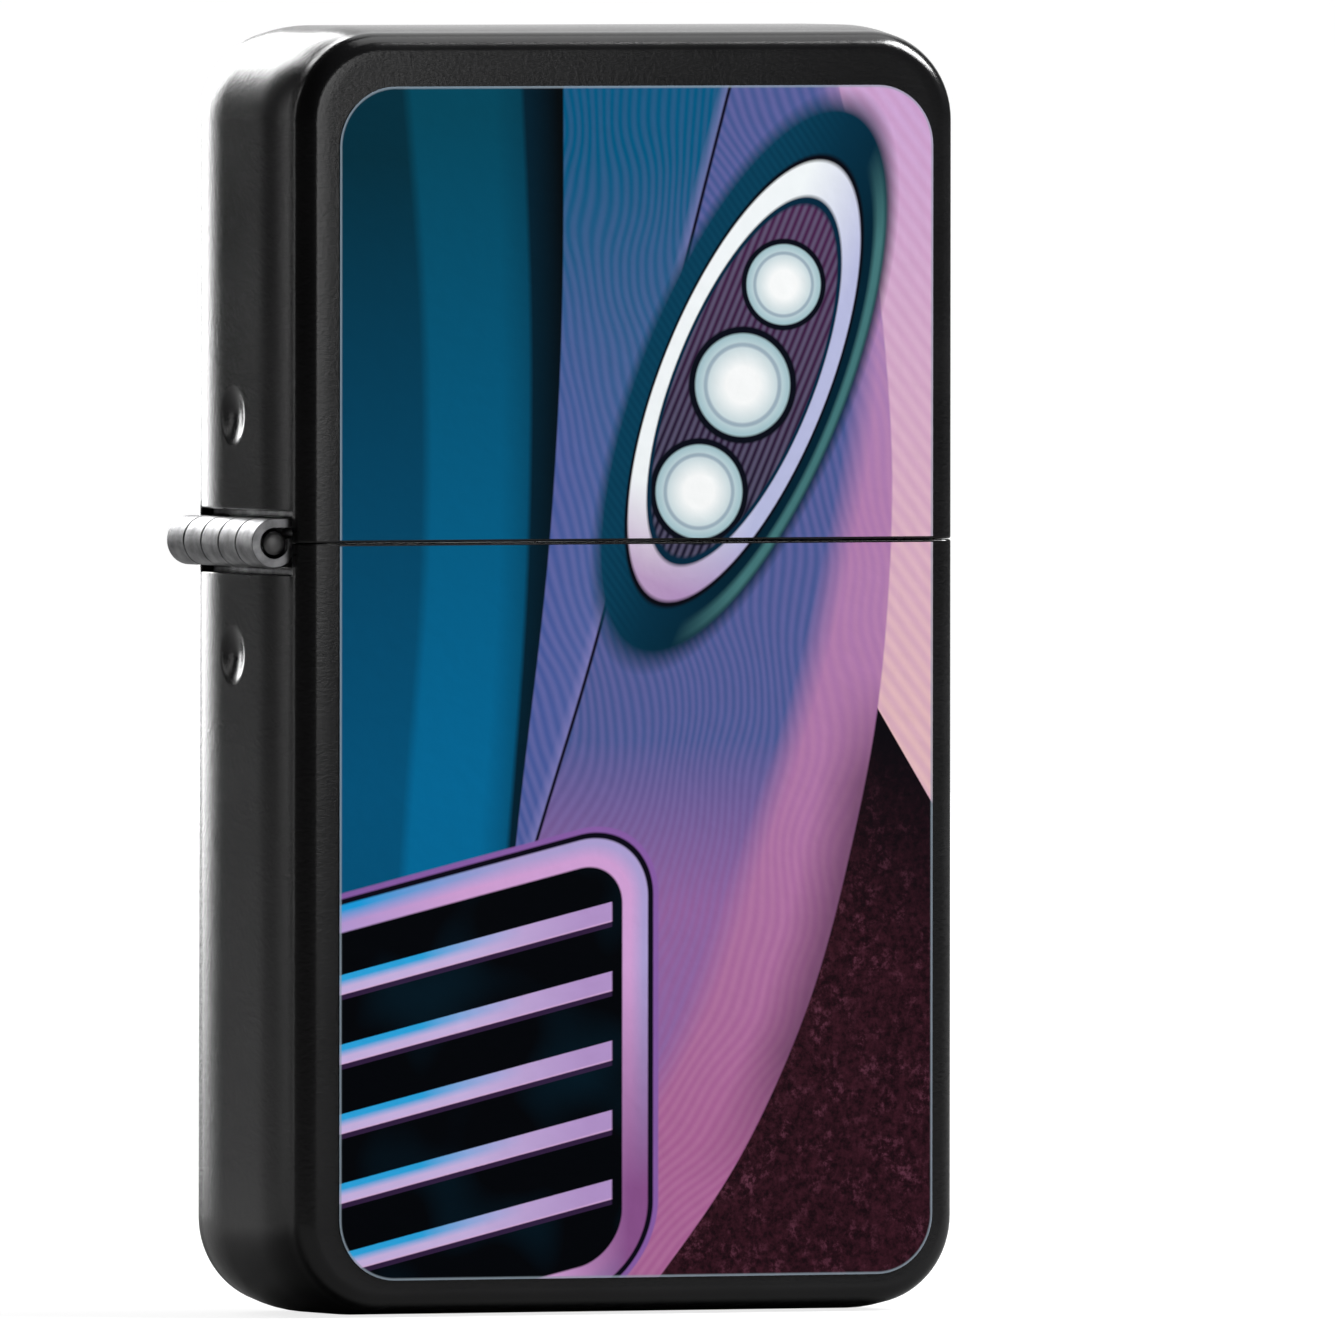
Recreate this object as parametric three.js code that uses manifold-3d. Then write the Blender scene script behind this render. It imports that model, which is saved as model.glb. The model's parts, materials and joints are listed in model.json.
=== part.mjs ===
// A flip-top petrol lighter: a two-piece sheet-metal case on a five-knuckle hinge, and the
// spring-fed flint and wick insert that sits inside it.
// Millimetres, +Z up. The printed front faces -Y and the hinge is on the -X side. The origin is
// the middle of the case's flat base.
import * as THREE from 'three';
import { mergeVertices } from 'three/addons/utils/BufferGeometryUtils.js';
import Module from 'manifold-3d';

// Case
const WIDTH = 32.4;
const DEPTH = 12.0;
const HEIGHT = 57.0;
const WALL = 0.7;
const CORNER_R = 4.2; // corners seen from the front
const EDGE_R = 1.1; // rounded edge round the front and back faces
const SEAM_Z = 34.2;
const SEAM_GAP = 0.14;

// Weld dimples on the hinge side
const DIMPLE_R = 1.3;
const DIMPLE_DEPTH = 0.2;
const DIMPLE_Y = 0.9;
const DIMPLE_RISE = 5.6;
const DIMPLE_DROP = 5.1;

// Hinge
const HINGE_X = -16.65;
const BARREL_R = 1.1;
const PIN_R = 0.5;
const BARREL_HALF = 4.7;
const KNUCKLES = 5;
const LEAF_X0 = -15.48;
const LEAF_X1 = -15.1;
const LEAF_REACH = 7.6;

// Printed front
const PRINT_X0 = -14.12;
const PRINT_X1 = 14.68;
const PRINT_Z0 = 1.17;
const PRINT_Z1 = 54.35;
const PRINT_R = 2.7;
const PRINT_THICK = 0.06;

// Insert
const TANK_X0 = -14.9;
const TANK_X1 = 15.35;
const TANK_Y = 5.15;
const TANK_Z0 = 0.75;
const DECK_Z = 35.1;
const DECK_THICK = 0.5;
const TANK_WALL = 0.4;

// Chimney, wheel and cam
const CHIMNEY_X0 = -7.5;
const CHIMNEY_X1 = 5.5;
const CHIMNEY_Y = 3.5;
const CHIMNEY_TOP = 49.1;
const SHEET = 0.4;
const WHEEL_X = 8.5;
const WHEEL_Z = 41.2;
const WHEEL_R = 3.15;
const WHEEL_HALF = 2.3;
const AXLE_R = 0.75;
const CAM_X = -10.5;
const CAM_Z = 37.7;
const CAM_HALF = 2.4;

// Flint feed and wick
const TUBE_R = 1.8;
const TUBE_BORE = 1.25;
const FLINT_R = 1.1;
const WICK_X = -1.0;
const WICK_R = 1.3;
const WICK_HOLE_R = 1.6;

const wasm = await Module();
wasm.setup();

function solid(geometry) {
  const bare = geometry.clone();
  bare.deleteAttribute('normal');
  bare.deleteAttribute('uv');
  const merged = mergeVertices(bare, 1e-4);
  return new wasm.Manifold(new wasm.Mesh({
    numProp: 3,
    vertProperties: new Float32Array(merged.attributes.position.array),
    triVerts: new Uint32Array(merged.index.array),
  }));
}

function piece(name, body, look) {
  const { vertProperties, triVerts } = body.getMesh();
  const shared = new THREE.BufferGeometry();
  shared.setAttribute('position', new THREE.BufferAttribute(vertProperties, 3));
  shared.setIndex(new THREE.BufferAttribute(triVerts, 1));
  const geometry = shared.toNonIndexed();
  geometry.computeVertexNormals();
  const mesh = new THREE.Mesh(geometry, new THREE.MeshStandardMaterial(look));
  mesh.name = name;
  return mesh;
}

function box(x0, x1, y0, y1, z0, z1) {
  const geometry = new THREE.BoxGeometry(x1 - x0, y1 - y0, z1 - z0);
  return solid(geometry.translate((x0 + x1) / 2, (y0 + y1) / 2, (z0 + z1) / 2));
}

// A cylinder along Y, centred on x, z.
function crossBar(x, z, r, y0, y1, sides = 24) {
  const geometry = new THREE.CylinderGeometry(r, r, y1 - y0, sides);
  return solid(geometry.translate(x, (y0 + y1) / 2, z));
}

// A cylinder along Z, centred on x, y.
function post(x, y, r, z0, z1, sides = 24) {
  const geometry = new THREE.CylinderGeometry(r, r, z1 - z0, sides).rotateX(Math.PI / 2);
  return solid(geometry.translate(x, y, (z0 + z1) / 2));
}

function roundedOutline(x0, x1, z0, z1, lowR, highR) {
  const outline = new THREE.Shape();
  outline.moveTo(x0 + lowR, z0);
  outline.lineTo(x1 - lowR, z0);
  outline.absarc(x1 - lowR, z0 + lowR, lowR, -Math.PI / 2, 0);
  outline.lineTo(x1, z1 - highR);
  outline.absarc(x1 - highR, z1 - highR, highR, 0, Math.PI / 2);
  outline.lineTo(x0 + highR, z1);
  outline.absarc(x0 + highR, z1 - highR, highR, Math.PI / 2, Math.PI);
  outline.lineTo(x0, z0 + lowR);
  outline.absarc(x0 + lowR, z0 + lowR, lowR, Math.PI, 1.5 * Math.PI);
  return outline;
}

// An outline in X and Z, extruded along Y from y0 to y1.
function slab(outline, y0, y1, curveSegments = 6) {
  const geometry = new THREE.ExtrudeGeometry(outline, {
    depth: y1 - y0, bevelEnabled: false, curveSegments,
  });
  return solid(geometry.rotateX(Math.PI / 2).translate(0, y1, 0));
}

// A rounded box: the front outline keeps its own corner radii, and a quarter-round of radius
// edge runs round the front and back faces.
function roundedBox(x0, x1, z0, z1, lowR, highR, halfDepth, edge, curveSegments, bevelSegments) {
  const geometry = new THREE.ExtrudeGeometry(roundedOutline(x0, x1, z0, z1, lowR, highR), {
    depth: 2 * (halfDepth - edge),
    bevelThickness: edge,
    bevelSize: edge,
    bevelOffset: -edge,
    bevelSegments,
    curveSegments,
  });
  return solid(geometry.translate(0, 0, edge - halfDepth).rotateX(Math.PI / 2));
}

// A strip of constant thickness that follows a smooth curve in X and Z.
function ribbon(points, thickness, halfWidth, steps) {
  const curve = new THREE.SplineCurve(points.map(([x, z]) => new THREE.Vector2(x, z)));
  const left = [];
  const right = [];
  for (let i = 0; i <= steps; i += 1) {
    const at = curve.getPoint(i / steps);
    const along = curve.getTangent(i / steps);
    const across = new THREE.Vector2(-along.y, along.x).multiplyScalar(thickness / 2);
    left.push(at.clone().add(across));
    right.unshift(at.clone().sub(across));
  }
  return slab(new THREE.Shape([...left, ...right]), -halfWidth, halfWidth);
}

// A round cord or wire along a 3-D curve, with twice as many sides as arcs.
function cord(curve, r, arcs, steps) {
  const section = new THREE.Shape();
  section.absarc(0, 0, r, 0, 2 * Math.PI);
  const geometry = new THREE.ExtrudeGeometry(section, {
    extrudePath: curve, steps, curveSegments: arcs, bevelEnabled: false,
  });
  return solid(geometry);
}

// The pressed case as one closed sleeve, before it is parted at the seam.
function caseSleeve() {
  const half = WIDTH / 2;
  const outside = roundedBox(-half, half, 0, HEIGHT, CORNER_R, CORNER_R, DEPTH / 2, EDGE_R, 8, 4);
  const inR = CORNER_R - WALL;
  const inside = roundedBox(
    WALL - half, half - WALL, WALL, HEIGHT - WALL, inR, inR, DEPTH / 2 - WALL, EDGE_R - 0.4, 6, 2,
  );
  return outside.subtract(inside);
}

// A shallow round dent pressed into the outside of the hinge side.
function dimple(z) {
  const profile = [];
  for (let i = 0; i <= 4; i += 1) {
    const r = (DIMPLE_R * i) / 4;
    const sunk = DIMPLE_DEPTH * (1 - (r / DIMPLE_R) ** 2);
    profile.push(new THREE.Vector2(r, -sunk));
  }
  profile.push(new THREE.Vector2(DIMPLE_R + 0.2, 0.5), new THREE.Vector2(0, 0.5));
  const geometry = new THREE.LatheGeometry(profile, 20).rotateZ(Math.PI / 2);
  return solid(geometry.translate(-WIDTH / 2, DIMPLE_Y, z));
}

function hingeCutOut() {
  return box(-17, LEAF_X0 + 0.08, -4.9, 4.9, SEAM_Z - 1.45, SEAM_Z + 1.45);
}

function bottomShell() {
  return caseSleeve()
    .intersect(box(-20, 20, -10, 10, -1, SEAM_Z - SEAM_GAP / 2))
    .subtract(hingeCutOut())
    .subtract(dimple(SEAM_Z - DIMPLE_DROP));
}

function lidShell() {
  return caseSleeve()
    .intersect(box(-20, 20, -10, 10, SEAM_Z + SEAM_GAP / 2, HEIGHT + 1))
    .subtract(hingeCutOut())
    .subtract(dimple(SEAM_Z + DIMPLE_RISE));
}

// One knuckle with the arm that ties it to its leaf. side is +1 for the lid's leaf and -1 for
// the body's leaf.
function knuckle(index, side) {
  const pitch = (2 * BARREL_HALF) / KNUCKLES;
  const y0 = -BARREL_HALF + index * pitch + 0.04;
  const y1 = y0 + pitch - 0.08;
  const low = Math.min(side * 0.65, side * BARREL_R);
  const high = Math.max(side * 0.65, side * BARREL_R);
  return crossBar(HINGE_X, SEAM_Z, BARREL_R, y0, y1)
    .subtract(crossBar(HINGE_X, SEAM_Z, PIN_R + 0.05, y0 - 1, y1 + 1))
    .add(box(HINGE_X, LEAF_X1, y0, y1, SEAM_Z + low, SEAM_Z + high));
}

function lidLeaf() {
  const plate = box(LEAF_X0, LEAF_X1, -4.6, 4.6, SEAM_Z + 0.65, SEAM_Z + LEAF_REACH);
  const tail = box(LEAF_X0, LEAF_X1, -0.8, 0.8, SEAM_Z - 1.4, SEAM_Z + 1);
  return plate.add(tail).add(knuckle(0, 1)).add(knuckle(2, 1)).add(knuckle(4, 1));
}

function bodyLeaf() {
  const plate = box(LEAF_X0, LEAF_X1, -4.6, 4.6, SEAM_Z - LEAF_REACH, SEAM_Z - 0.65);
  const tailSlot = box(-16, -15, -0.92, 0.92, SEAM_Z - 1.9, SEAM_Z);
  return plate.subtract(tailSlot).add(knuckle(1, -1)).add(knuckle(3, -1));
}

function hingePin() {
  return crossBar(HINGE_X, SEAM_Z, PIN_R, -BARREL_HALF - 0.05, BARREL_HALF + 0.05);
}

// The printed picture is a thin film on the front face, parted with the case at the seam.
function printFilm(z0, z1) {
  const outline = roundedOutline(PRINT_X0, PRINT_X1, PRINT_Z0, PRINT_Z1, PRINT_R, PRINT_R);
  const back = -DEPTH / 2 - 0.01;
  return slab(outline, back - PRINT_THICK, back, 8).intersect(box(-20, 20, -10, 10, z0, z1));
}

// The fuel tank: a thin box with rounded lower corners, a deck on top and an open base.
function insertTank() {
  const outside = roundedBox(TANK_X0, TANK_X1, TANK_Z0, DECK_Z, 3.4, 0.8, TANK_Y, 0.6, 5, 2);
  const inside = roundedBox(
    TANK_X0 + TANK_WALL, TANK_X1 - TANK_WALL, TANK_Z0 + TANK_WALL, DECK_Z - DECK_THICK,
    3.0, 0.4, TANK_Y - TANK_WALL, 0.3, 5, 1,
  );
  return outside.subtract(inside)
    .subtract(box(-11.3, 11.7, -4.45, 4.45, 0, 1.6))
    .subtract(box(-15.5, -14.2, -1.3, 1.3, SEAM_Z - 1.8, DECK_Z + 1))
    .subtract(box(-10.2, -7.75, -1.5, 1.5, 34, 36))
    .subtract(post(-4.4, 0, 0.55, 34, 36))
    .subtract(post(WICK_X, 0, WICK_HOLE_R, 34, 36))
    .subtract(post(WHEEL_X, 0, TUBE_R + 0.05, 34, 36));
}

function wheelEar() {
  const ear = new THREE.Shape();
  ear.moveTo(3.5, DECK_Z + 0.03);
  ear.lineTo(10.2, DECK_Z + 0.03);
  ear.lineTo(WHEEL_X + 2.4, WHEEL_Z);
  ear.absarc(WHEEL_X, WHEEL_Z, 2.4, 0, (2 * Math.PI) / 3);
  ear.lineTo(5.0, 46.4);
  ear.lineTo(3.5, 46.4);
  return ear;
}

function camEar() {
  const ear = new THREE.Shape();
  ear.moveTo(-5.5, DECK_Z + 0.03);
  ear.lineTo(-5.5, 41.4);
  ear.lineTo(-7.6, 40.9);
  ear.lineTo(CAM_X + 0.8, CAM_Z + 1.386);
  ear.absarc(CAM_X, CAM_Z, 1.6, Math.PI / 3, Math.PI);
  ear.lineTo(-11.7, DECK_Z + 0.03);
  return ear;
}

// The windscreen: a folded oval wall with round air holes, and an ear at each end of both
// sides for the wheel and the cam.
function chimney() {
  const wall = new THREE.ExtrudeGeometry(
    roundedOutline(CHIMNEY_X0, CHIMNEY_X1, -CHIMNEY_Y, CHIMNEY_Y, 2, 2),
    { depth: CHIMNEY_TOP - DECK_Z - 0.03, bevelEnabled: false, curveSegments: 5 },
  );
  const bore = new THREE.ExtrudeGeometry(
    roundedOutline(
      CHIMNEY_X0 + SHEET, CHIMNEY_X1 - SHEET, SHEET - CHIMNEY_Y, CHIMNEY_Y - SHEET, 1.6, 1.6,
    ),
    { depth: 20, bevelEnabled: false, curveSegments: 5 },
  );
  let body = solid(wall.translate(0, 0, DECK_Z + 0.03));
  for (const side of [-1, 1]) {
    const y0 = side > 0 ? CHIMNEY_Y - SHEET : -CHIMNEY_Y;
    body = body.add(slab(wheelEar(), y0, y0 + SHEET)).add(slab(camEar(), y0, y0 + SHEET));
  }
  body = body.subtract(solid(bore.translate(0, 0, DECK_Z - 1)));
  for (const x of [-4.2, -1.0, 2.2]) {
    for (const z of [40.2, 43.4, 46.6]) {
      body = body.subtract(crossBar(x, z, 0.95, -5, 5, 12));
    }
  }
  return body
    .subtract(box(4.0, 6.0, -2.75, 2.75, 37.4, 45.2))
    .subtract(crossBar(WHEEL_X, WHEEL_Z, AXLE_R + 0.05, -5, 5))
    .subtract(crossBar(CAM_X, CAM_Z, 0.55, -5, 5, 16));
}

// A toothed steel wheel with two turned grooves.
function flintWheel() {
  const teeth = 26;
  const outline = new THREE.Shape();
  for (let i = 0; i < 2 * teeth; i += 1) {
    const r = i % 2 ? WHEEL_R - 0.28 : WHEEL_R;
    const a = (Math.PI * i) / teeth;
    const x = WHEEL_X + r * Math.cos(a);
    const z = WHEEL_Z + r * Math.sin(a);
    if (i === 0) outline.moveTo(x, z);
    else outline.lineTo(x, z);
  }
  let body = slab(outline, -WHEEL_HALF, WHEEL_HALF);
  for (const y of [-1.45, 1.2]) {
    const groove = crossBar(WHEEL_X, WHEEL_Z, WHEEL_R + 1, y, y + 0.25)
      .subtract(crossBar(WHEEL_X, WHEEL_Z, WHEEL_R - 0.5, y - 1, y + 1));
    body = body.subtract(groove);
  }
  return body.subtract(crossBar(WHEEL_X, WHEEL_Z, AXLE_R + 0.1, -5, 5));
}

// A rivet along Y with a flat head outside each ear.
function rivet(x, z, r, headR) {
  return crossBar(x, z, r, -3.7, 3.7)
    .add(crossBar(x, z, headR, -4.0, -3.53))
    .add(crossBar(x, z, headR, 3.53, 4.0));
}

function camLever() {
  const profile = new THREE.Shape();
  profile.moveTo(-14.45, 35.55);
  profile.splineThru([
    new THREE.Vector2(-13.2, 36.2),
    new THREE.Vector2(-11.6, 36.5),
    new THREE.Vector2(-9.9, 36.7),
  ]);
  profile.lineTo(-9.0, 36.6);
  profile.splineThru([
    new THREE.Vector2(-8.8, 37.6),
    new THREE.Vector2(-9.3, 38.6),
    new THREE.Vector2(-10.5, 39.1),
    new THREE.Vector2(-11.8, 38.6),
    new THREE.Vector2(-13.0, 37.4),
    new THREE.Vector2(-14.5, 36.3),
  ]);
  return slab(profile, -CAM_HALF, CAM_HALF, 3).subtract(crossBar(CAM_X, CAM_Z, 0.6, -5, 5, 16));
}

function camSpring() {
  const path = [[-3.6, 34.42], [-5.8, 34.42], [-7.9, 34.45], [-8.9, 35.0], [-9.6, 36.05]];
  return ribbon(path, 0.22, 1.1, 14).subtract(post(-4.4, 0, 0.55, 34, 35, 16));
}

function camSpringRivet() {
  return post(-4.4, 0, 0.5, 34.0, 35.4, 16)
    .add(post(-4.4, 0, 0.9, 33.85, 34.28, 16))
    .add(post(-4.4, 0, 0.9, 35.13, 35.5, 16));
}

function flintTube() {
  return post(WHEEL_X, 0, TUBE_R, 2.3, 37.5)
    .add(post(WHEEL_X, 0, 2.3, DECK_Z + 0.03, DECK_Z + 0.5))
    .subtract(post(WHEEL_X, 0, TUBE_BORE, 0, 40));
}

function flintSpring() {
  const turns = 12;
  class Coil extends THREE.Curve {
    getPoint(t) {
      const a = 2 * Math.PI * turns * t;
      return new THREE.Vector3(
        WHEEL_X + 0.82 * Math.cos(a), 0.82 * Math.sin(a), 6.3 + 25.8 * t,
      );
    }
  }
  return cord(new Coil(), 0.16, 2, turns * 8);
}

function flintScrew() {
  return post(WHEEL_X, 0, 2.1, 1.0, 2.0)
    .add(post(WHEEL_X, 0, 1.15, 1.5, 6.0))
    .subtract(box(WHEEL_X - 3, WHEEL_X + 3, -0.25, 0.25, 0.5, 1.5));
}

function wickPath() {
  return new THREE.CatmullRomCurve3([
    new THREE.Vector3(WICK_X, 0, 43.4),
    new THREE.Vector3(WICK_X, 0, 38.6),
    new THREE.Vector3(WICK_X, 0, 33.6),
    new THREE.Vector3(WICK_X - 1.6, 0.5, 27.4),
    new THREE.Vector3(WICK_X + 1.2, -0.6, 20.8),
    new THREE.Vector3(WICK_X - 1.8, 0.5, 14.0),
    new THREE.Vector3(WICK_X, 0, 8.0),
  ]);
}

function wick() {
  return cord(wickPath(), WICK_R, 5, 24);
}

// Each cotton pad is a soft rounded block, parted to let the wick and the flint tube through.
function cottonPad(index) {
  const z0 = 3.6 + 7.3 * index;
  return roundedBox(-14.0, 14.4, z0, z0 + 7.0, 2.4, 2.4, 4.3, 1.7, 4, 2)
    .subtract(cord(wickPath(), WICK_R + 0.35, 4, 18))
    .subtract(post(WHEEL_X, 0, TUBE_R + 0.3, 0, 40, 12));
}

function feltPad() {
  const outline = roundedOutline(-11.0, 11.4, -4.3, 4.3, 0.8, 0.8);
  const geometry = new THREE.ExtrudeGeometry(outline, {
    depth: 2.2, bevelEnabled: false, curveSegments: 4,
  });
  return solid(geometry.translate(0, 0, 0.98)).subtract(post(WHEEL_X, 0, 2.45, 0, 4));
}

const blackPaint = { color: 0x17181a, roughness: 0.5, metalness: 0.0 };
const printInk = { color: 0x1f4f86, roughness: 0.3, metalness: 0.0 };
const brushedSteel = { color: 0xc4c6c8, roughness: 0.3, metalness: 1.0 };
const darkSteel = { color: 0x4a4a4c, roughness: 0.45, metalness: 1.0 };
const brass = { color: 0xc79a4b, roughness: 0.3, metalness: 1.0 };
const cotton = { color: 0xe9e4d8, roughness: 0.95, metalness: 0.0 };
const felt = { color: 0xd9d4c6, roughness: 0.95, metalness: 0.0 };
const flintGrey = { color: 0x6b6a66, roughness: 0.7, metalness: 0.2 };

function lowerCase() {
  return new THREE.Group().add(
    piece('bottom_shell', bottomShell(), blackPaint),
    piece('hinge_body_leaf', bodyLeaf(), blackPaint),
    piece('hinge_pin', hingePin(), darkSteel),
    piece('body_print', printFilm(0, SEAM_Z - SEAM_GAP / 2 - 0.06), printInk),
  );
}

function lid() {
  return new THREE.Group().add(
    piece('lid_shell', lidShell(), blackPaint),
    piece('hinge_lid_leaf', lidLeaf(), blackPaint),
    piece('lid_print', printFilm(SEAM_Z + SEAM_GAP / 2 + 0.06, HEIGHT), printInk),
  );
}

function insert() {
  const group = new THREE.Group().add(
    piece('insert_tank', insertTank(), brushedSteel),
    piece('chimney', chimney(), brushedSteel),
    piece('flint_wheel', flintWheel(), darkSteel),
    piece('wheel_axle', rivet(WHEEL_X, WHEEL_Z, AXLE_R, 1.25), brushedSteel),
    piece('cam_lever', camLever(), brushedSteel),
    piece('cam_rivet', rivet(CAM_X, CAM_Z, 0.5, 1.0), brushedSteel),
    piece('cam_spring', camSpring(), brushedSteel),
    piece('cam_spring_rivet', camSpringRivet(), brushedSteel),
    piece('flint_tube', flintTube(), brass),
    piece('flint', post(WHEEL_X, 0, FLINT_R, 33.4, 38.0, 20), flintGrey),
    piece('spring_tip', post(WHEEL_X, 0, FLINT_R, 32.35, 33.35, 20), brass),
    piece('flint_spring', flintSpring(), brushedSteel),
    piece('flint_screw', flintScrew(), brass),
    piece('wick', wick(), cotton),
    piece('felt_pad', feltPad(), felt),
  );
  for (let i = 0; i < 4; i += 1) {
    group.add(piece(`cotton_pad_${i + 1}`, cottonPad(i), cotton));
  }
  return group;
}

export default new THREE.Group().add(lowerCase(), lid(), insert());
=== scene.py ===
"""A black flip-top petrol lighter with a printed front, standing closed on a pale floor.

Lengths are worked out in millimetres and turned to metres as a mesh is made. +Z is up, the
printed front faces -Y and the hinge is on the -X side.
"""
import json
import math

import bmesh
import bpy
import numpy as np
from mathutils import Matrix, Vector


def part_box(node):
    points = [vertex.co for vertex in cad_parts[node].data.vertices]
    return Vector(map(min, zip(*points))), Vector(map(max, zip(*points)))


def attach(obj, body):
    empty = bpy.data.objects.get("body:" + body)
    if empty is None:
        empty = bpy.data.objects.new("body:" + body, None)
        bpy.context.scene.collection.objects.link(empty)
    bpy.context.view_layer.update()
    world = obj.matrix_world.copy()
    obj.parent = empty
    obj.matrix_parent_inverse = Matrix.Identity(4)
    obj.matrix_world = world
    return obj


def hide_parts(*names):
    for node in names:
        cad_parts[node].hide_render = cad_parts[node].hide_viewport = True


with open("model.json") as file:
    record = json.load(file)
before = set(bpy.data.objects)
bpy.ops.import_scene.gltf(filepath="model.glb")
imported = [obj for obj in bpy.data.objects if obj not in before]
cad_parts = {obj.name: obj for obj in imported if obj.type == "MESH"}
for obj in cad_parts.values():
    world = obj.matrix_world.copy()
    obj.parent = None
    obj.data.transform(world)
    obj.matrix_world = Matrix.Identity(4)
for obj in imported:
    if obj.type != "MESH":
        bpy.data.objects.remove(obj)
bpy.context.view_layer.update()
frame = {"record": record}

MM = 0.001
SAME_POINT = 1e-6


def box_mm(node):
    """Lowest and highest corners of a CAD node, in millimetres."""
    low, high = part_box(node)
    return np.array(low) / MM, np.array(high) / MM


# ---------------------------------------------------------------- sizes taken from the frame

CASE_LOW, CASE_HIGH = box_mm("bottom_shell")
LID_LOW, LID_HIGH = box_mm("lid_shell")
HALF_W = (CASE_HIGH[0] - CASE_LOW[0]) / 2
HALF_D = (CASE_HIGH[1] - CASE_LOW[1]) / 2
TOP = LID_HIGH[2]
SEAM = (CASE_HIGH[2] + LID_LOW[2]) / 2
SEAM_GAP = 0.03
CASE_RIM = SEAM - SEAM_GAP / 2
LID_RIM = SEAM + SEAM_GAP / 2
CORNER_R = 4.2
EDGE_R = 1.1
SHELL_SHEET = 0.6
JOINTS = {joint["name"]: joint for joint in frame["record"]["behaviour"]["joints"]}
HINGE = np.array(JOINTS["lid_hinge"]["pos_m"]) / MM
CUT_HALF_Y = HALF_D - EDGE_R
CUT_REACH = 1.45
CUT_RISE = 1.38
CROWN = 0.26
CROWN_FROM = 1.9
DIMPLE_R = 1.3
DIMPLE_DEPTH = 0.22
DIMPLE_Y = 0.9
DIMPLE_RISE = 5.53
DIMPLE_DROP = 5.03
DIMPLE_PATCH = 1.6


# ---------------------------------------------------------------- mesh making


def grid_faces(rows, columns, wrap_rows=False, wrap_columns=False):
    """Quads of a rows x columns grid of points, row by row."""
    i = np.arange(rows if wrap_rows else rows - 1)[:, None]
    j = np.arange(columns if wrap_columns else columns - 1)[None, :]
    i2, j2 = (i + 1) % rows, (j + 1) % columns
    corners = [i * columns + j, i * columns + j2, i2 * columns + j2, i2 * columns + j]
    return np.stack(np.broadcast_arrays(*corners), axis=-1).reshape(-1, 4)


def sheet_part(points, keep=None, **wraps):
    """An n x m x 3 grid of points as (points, faces). keep marks the cells that stay."""
    rows, columns = points.shape[:2]
    faces = grid_faces(rows, columns, **wraps)
    if keep is not None:
        faces = faces[keep.reshape(-1)]
    return points.reshape(-1, 3), faces.tolist()


def bar_part(path, across, up, profile):
    """A closed profile of (a, b) pairs carried along a path: path + a * across + b * up, with
    a flat face at each end."""
    across = np.broadcast_to(across, path.shape)[:, None, :]
    up = np.broadcast_to(up, path.shape)[:, None, :]
    points = path[:, None, :] + profile[None, :, :1] * across + profile[None, :, 1:] * up
    count, sides = len(path), len(profile)
    faces = grid_faces(count, sides, wrap_columns=True).tolist()
    faces.append(list(range(sides))[::-1])
    faces.append([(count - 1) * sides + k for k in range(sides)])
    return points.reshape(-1, 3), faces


def turned_part(profile, centre, axis, steps=48):
    """A profile of (radius, height) pairs turned about an axis through centre. The profile
    starts and ends on the axis or closes on itself."""
    profile = np.array(profile, float)
    angle = np.linspace(0, 2 * math.pi, steps, endpoint=False)
    radius, height = profile[:, 0][:, None], profile[:, 1][:, None]
    a, b = radius * np.cos(angle), radius * np.sin(angle)
    h = np.broadcast_to(height, a.shape)
    order = {"z": (a, b, h), "y": (b, h, a), "x": (h, a, b)}[axis]
    points = np.stack(order, axis=-1) + np.array(centre, float)
    return sheet_part(points, wrap_columns=True)


def unit(vectors):
    """The vectors, each made one long."""
    return vectors / np.linalg.norm(vectors, axis=-1, keepdims=True)


def merged_object(name, points, faces, finish, closed=False):
    """A smooth object from points in millimetres: doubles merged, a closed one turned
    outwards."""
    mesh = bpy.data.meshes.new(name)
    mesh.from_pydata((points * MM).tolist(), [], faces)
    edit = bmesh.new()
    edit.from_mesh(mesh)
    bmesh.ops.remove_doubles(edit, verts=edit.verts, dist=SAME_POINT)
    if closed:
        bmesh.ops.recalc_face_normals(edit, faces=edit.faces)
    edit.to_mesh(mesh)
    edit.free()
    mesh.shade_smooth()
    mesh.materials.append(finish)
    thing = bpy.data.objects.new(name, mesh)
    bpy.context.scene.collection.objects.link(thing)
    return thing


def make_piece(name, parts, finish, body, nodes, closed=True, angle=40):
    """One piece from several (points, faces) parts, with corners sharper than angle kept
    sharp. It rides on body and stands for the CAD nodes."""
    points, faces, start = [], [], 0
    for part_points, part_faces in parts:
        points.append(np.asarray(part_points, float))
        faces.extend([[k + start for k in face] for face in part_faces])
        start += len(part_points)
    piece = merged_object(name, np.concatenate(points), faces, finish, closed)
    piece.data.set_sharp_from_angle(angle=math.radians(angle))
    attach(piece, body)
    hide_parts(*nodes)
    return piece


def thicken(piece, thickness, offset=-1.0):
    """Gives an open sheet its wall: offset -1 grows it inwards, 0 both ways."""
    wall = piece.modifiers.new("wall", "SOLIDIFY")
    wall.thickness = thickness * MM
    wall.offset = offset
    wall.use_even_offset = True


def soften(piece, width, angle=50, segments=2):
    """Rounds the edges that are sharper than angle."""
    bevel = piece.modifiers.new("edges", "BEVEL")
    bevel.width = width * MM
    bevel.segments = segments
    bevel.limit_method = "ANGLE"
    bevel.angle_limit = math.radians(angle)
    bevel.harden_normals = True


# ---------------------------------------------------------------- finishes


def paint_rgb(red, green, blue):
    """A display colour, 0 to 255, as the linear colour that a shader takes."""
    channel = np.array([red, green, blue]) / 255
    linear = np.where(channel <= 0.04045, channel / 12.92, ((channel + 0.055) / 1.055) ** 2.4)
    return (*linear.tolist(), 1.0)


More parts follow.
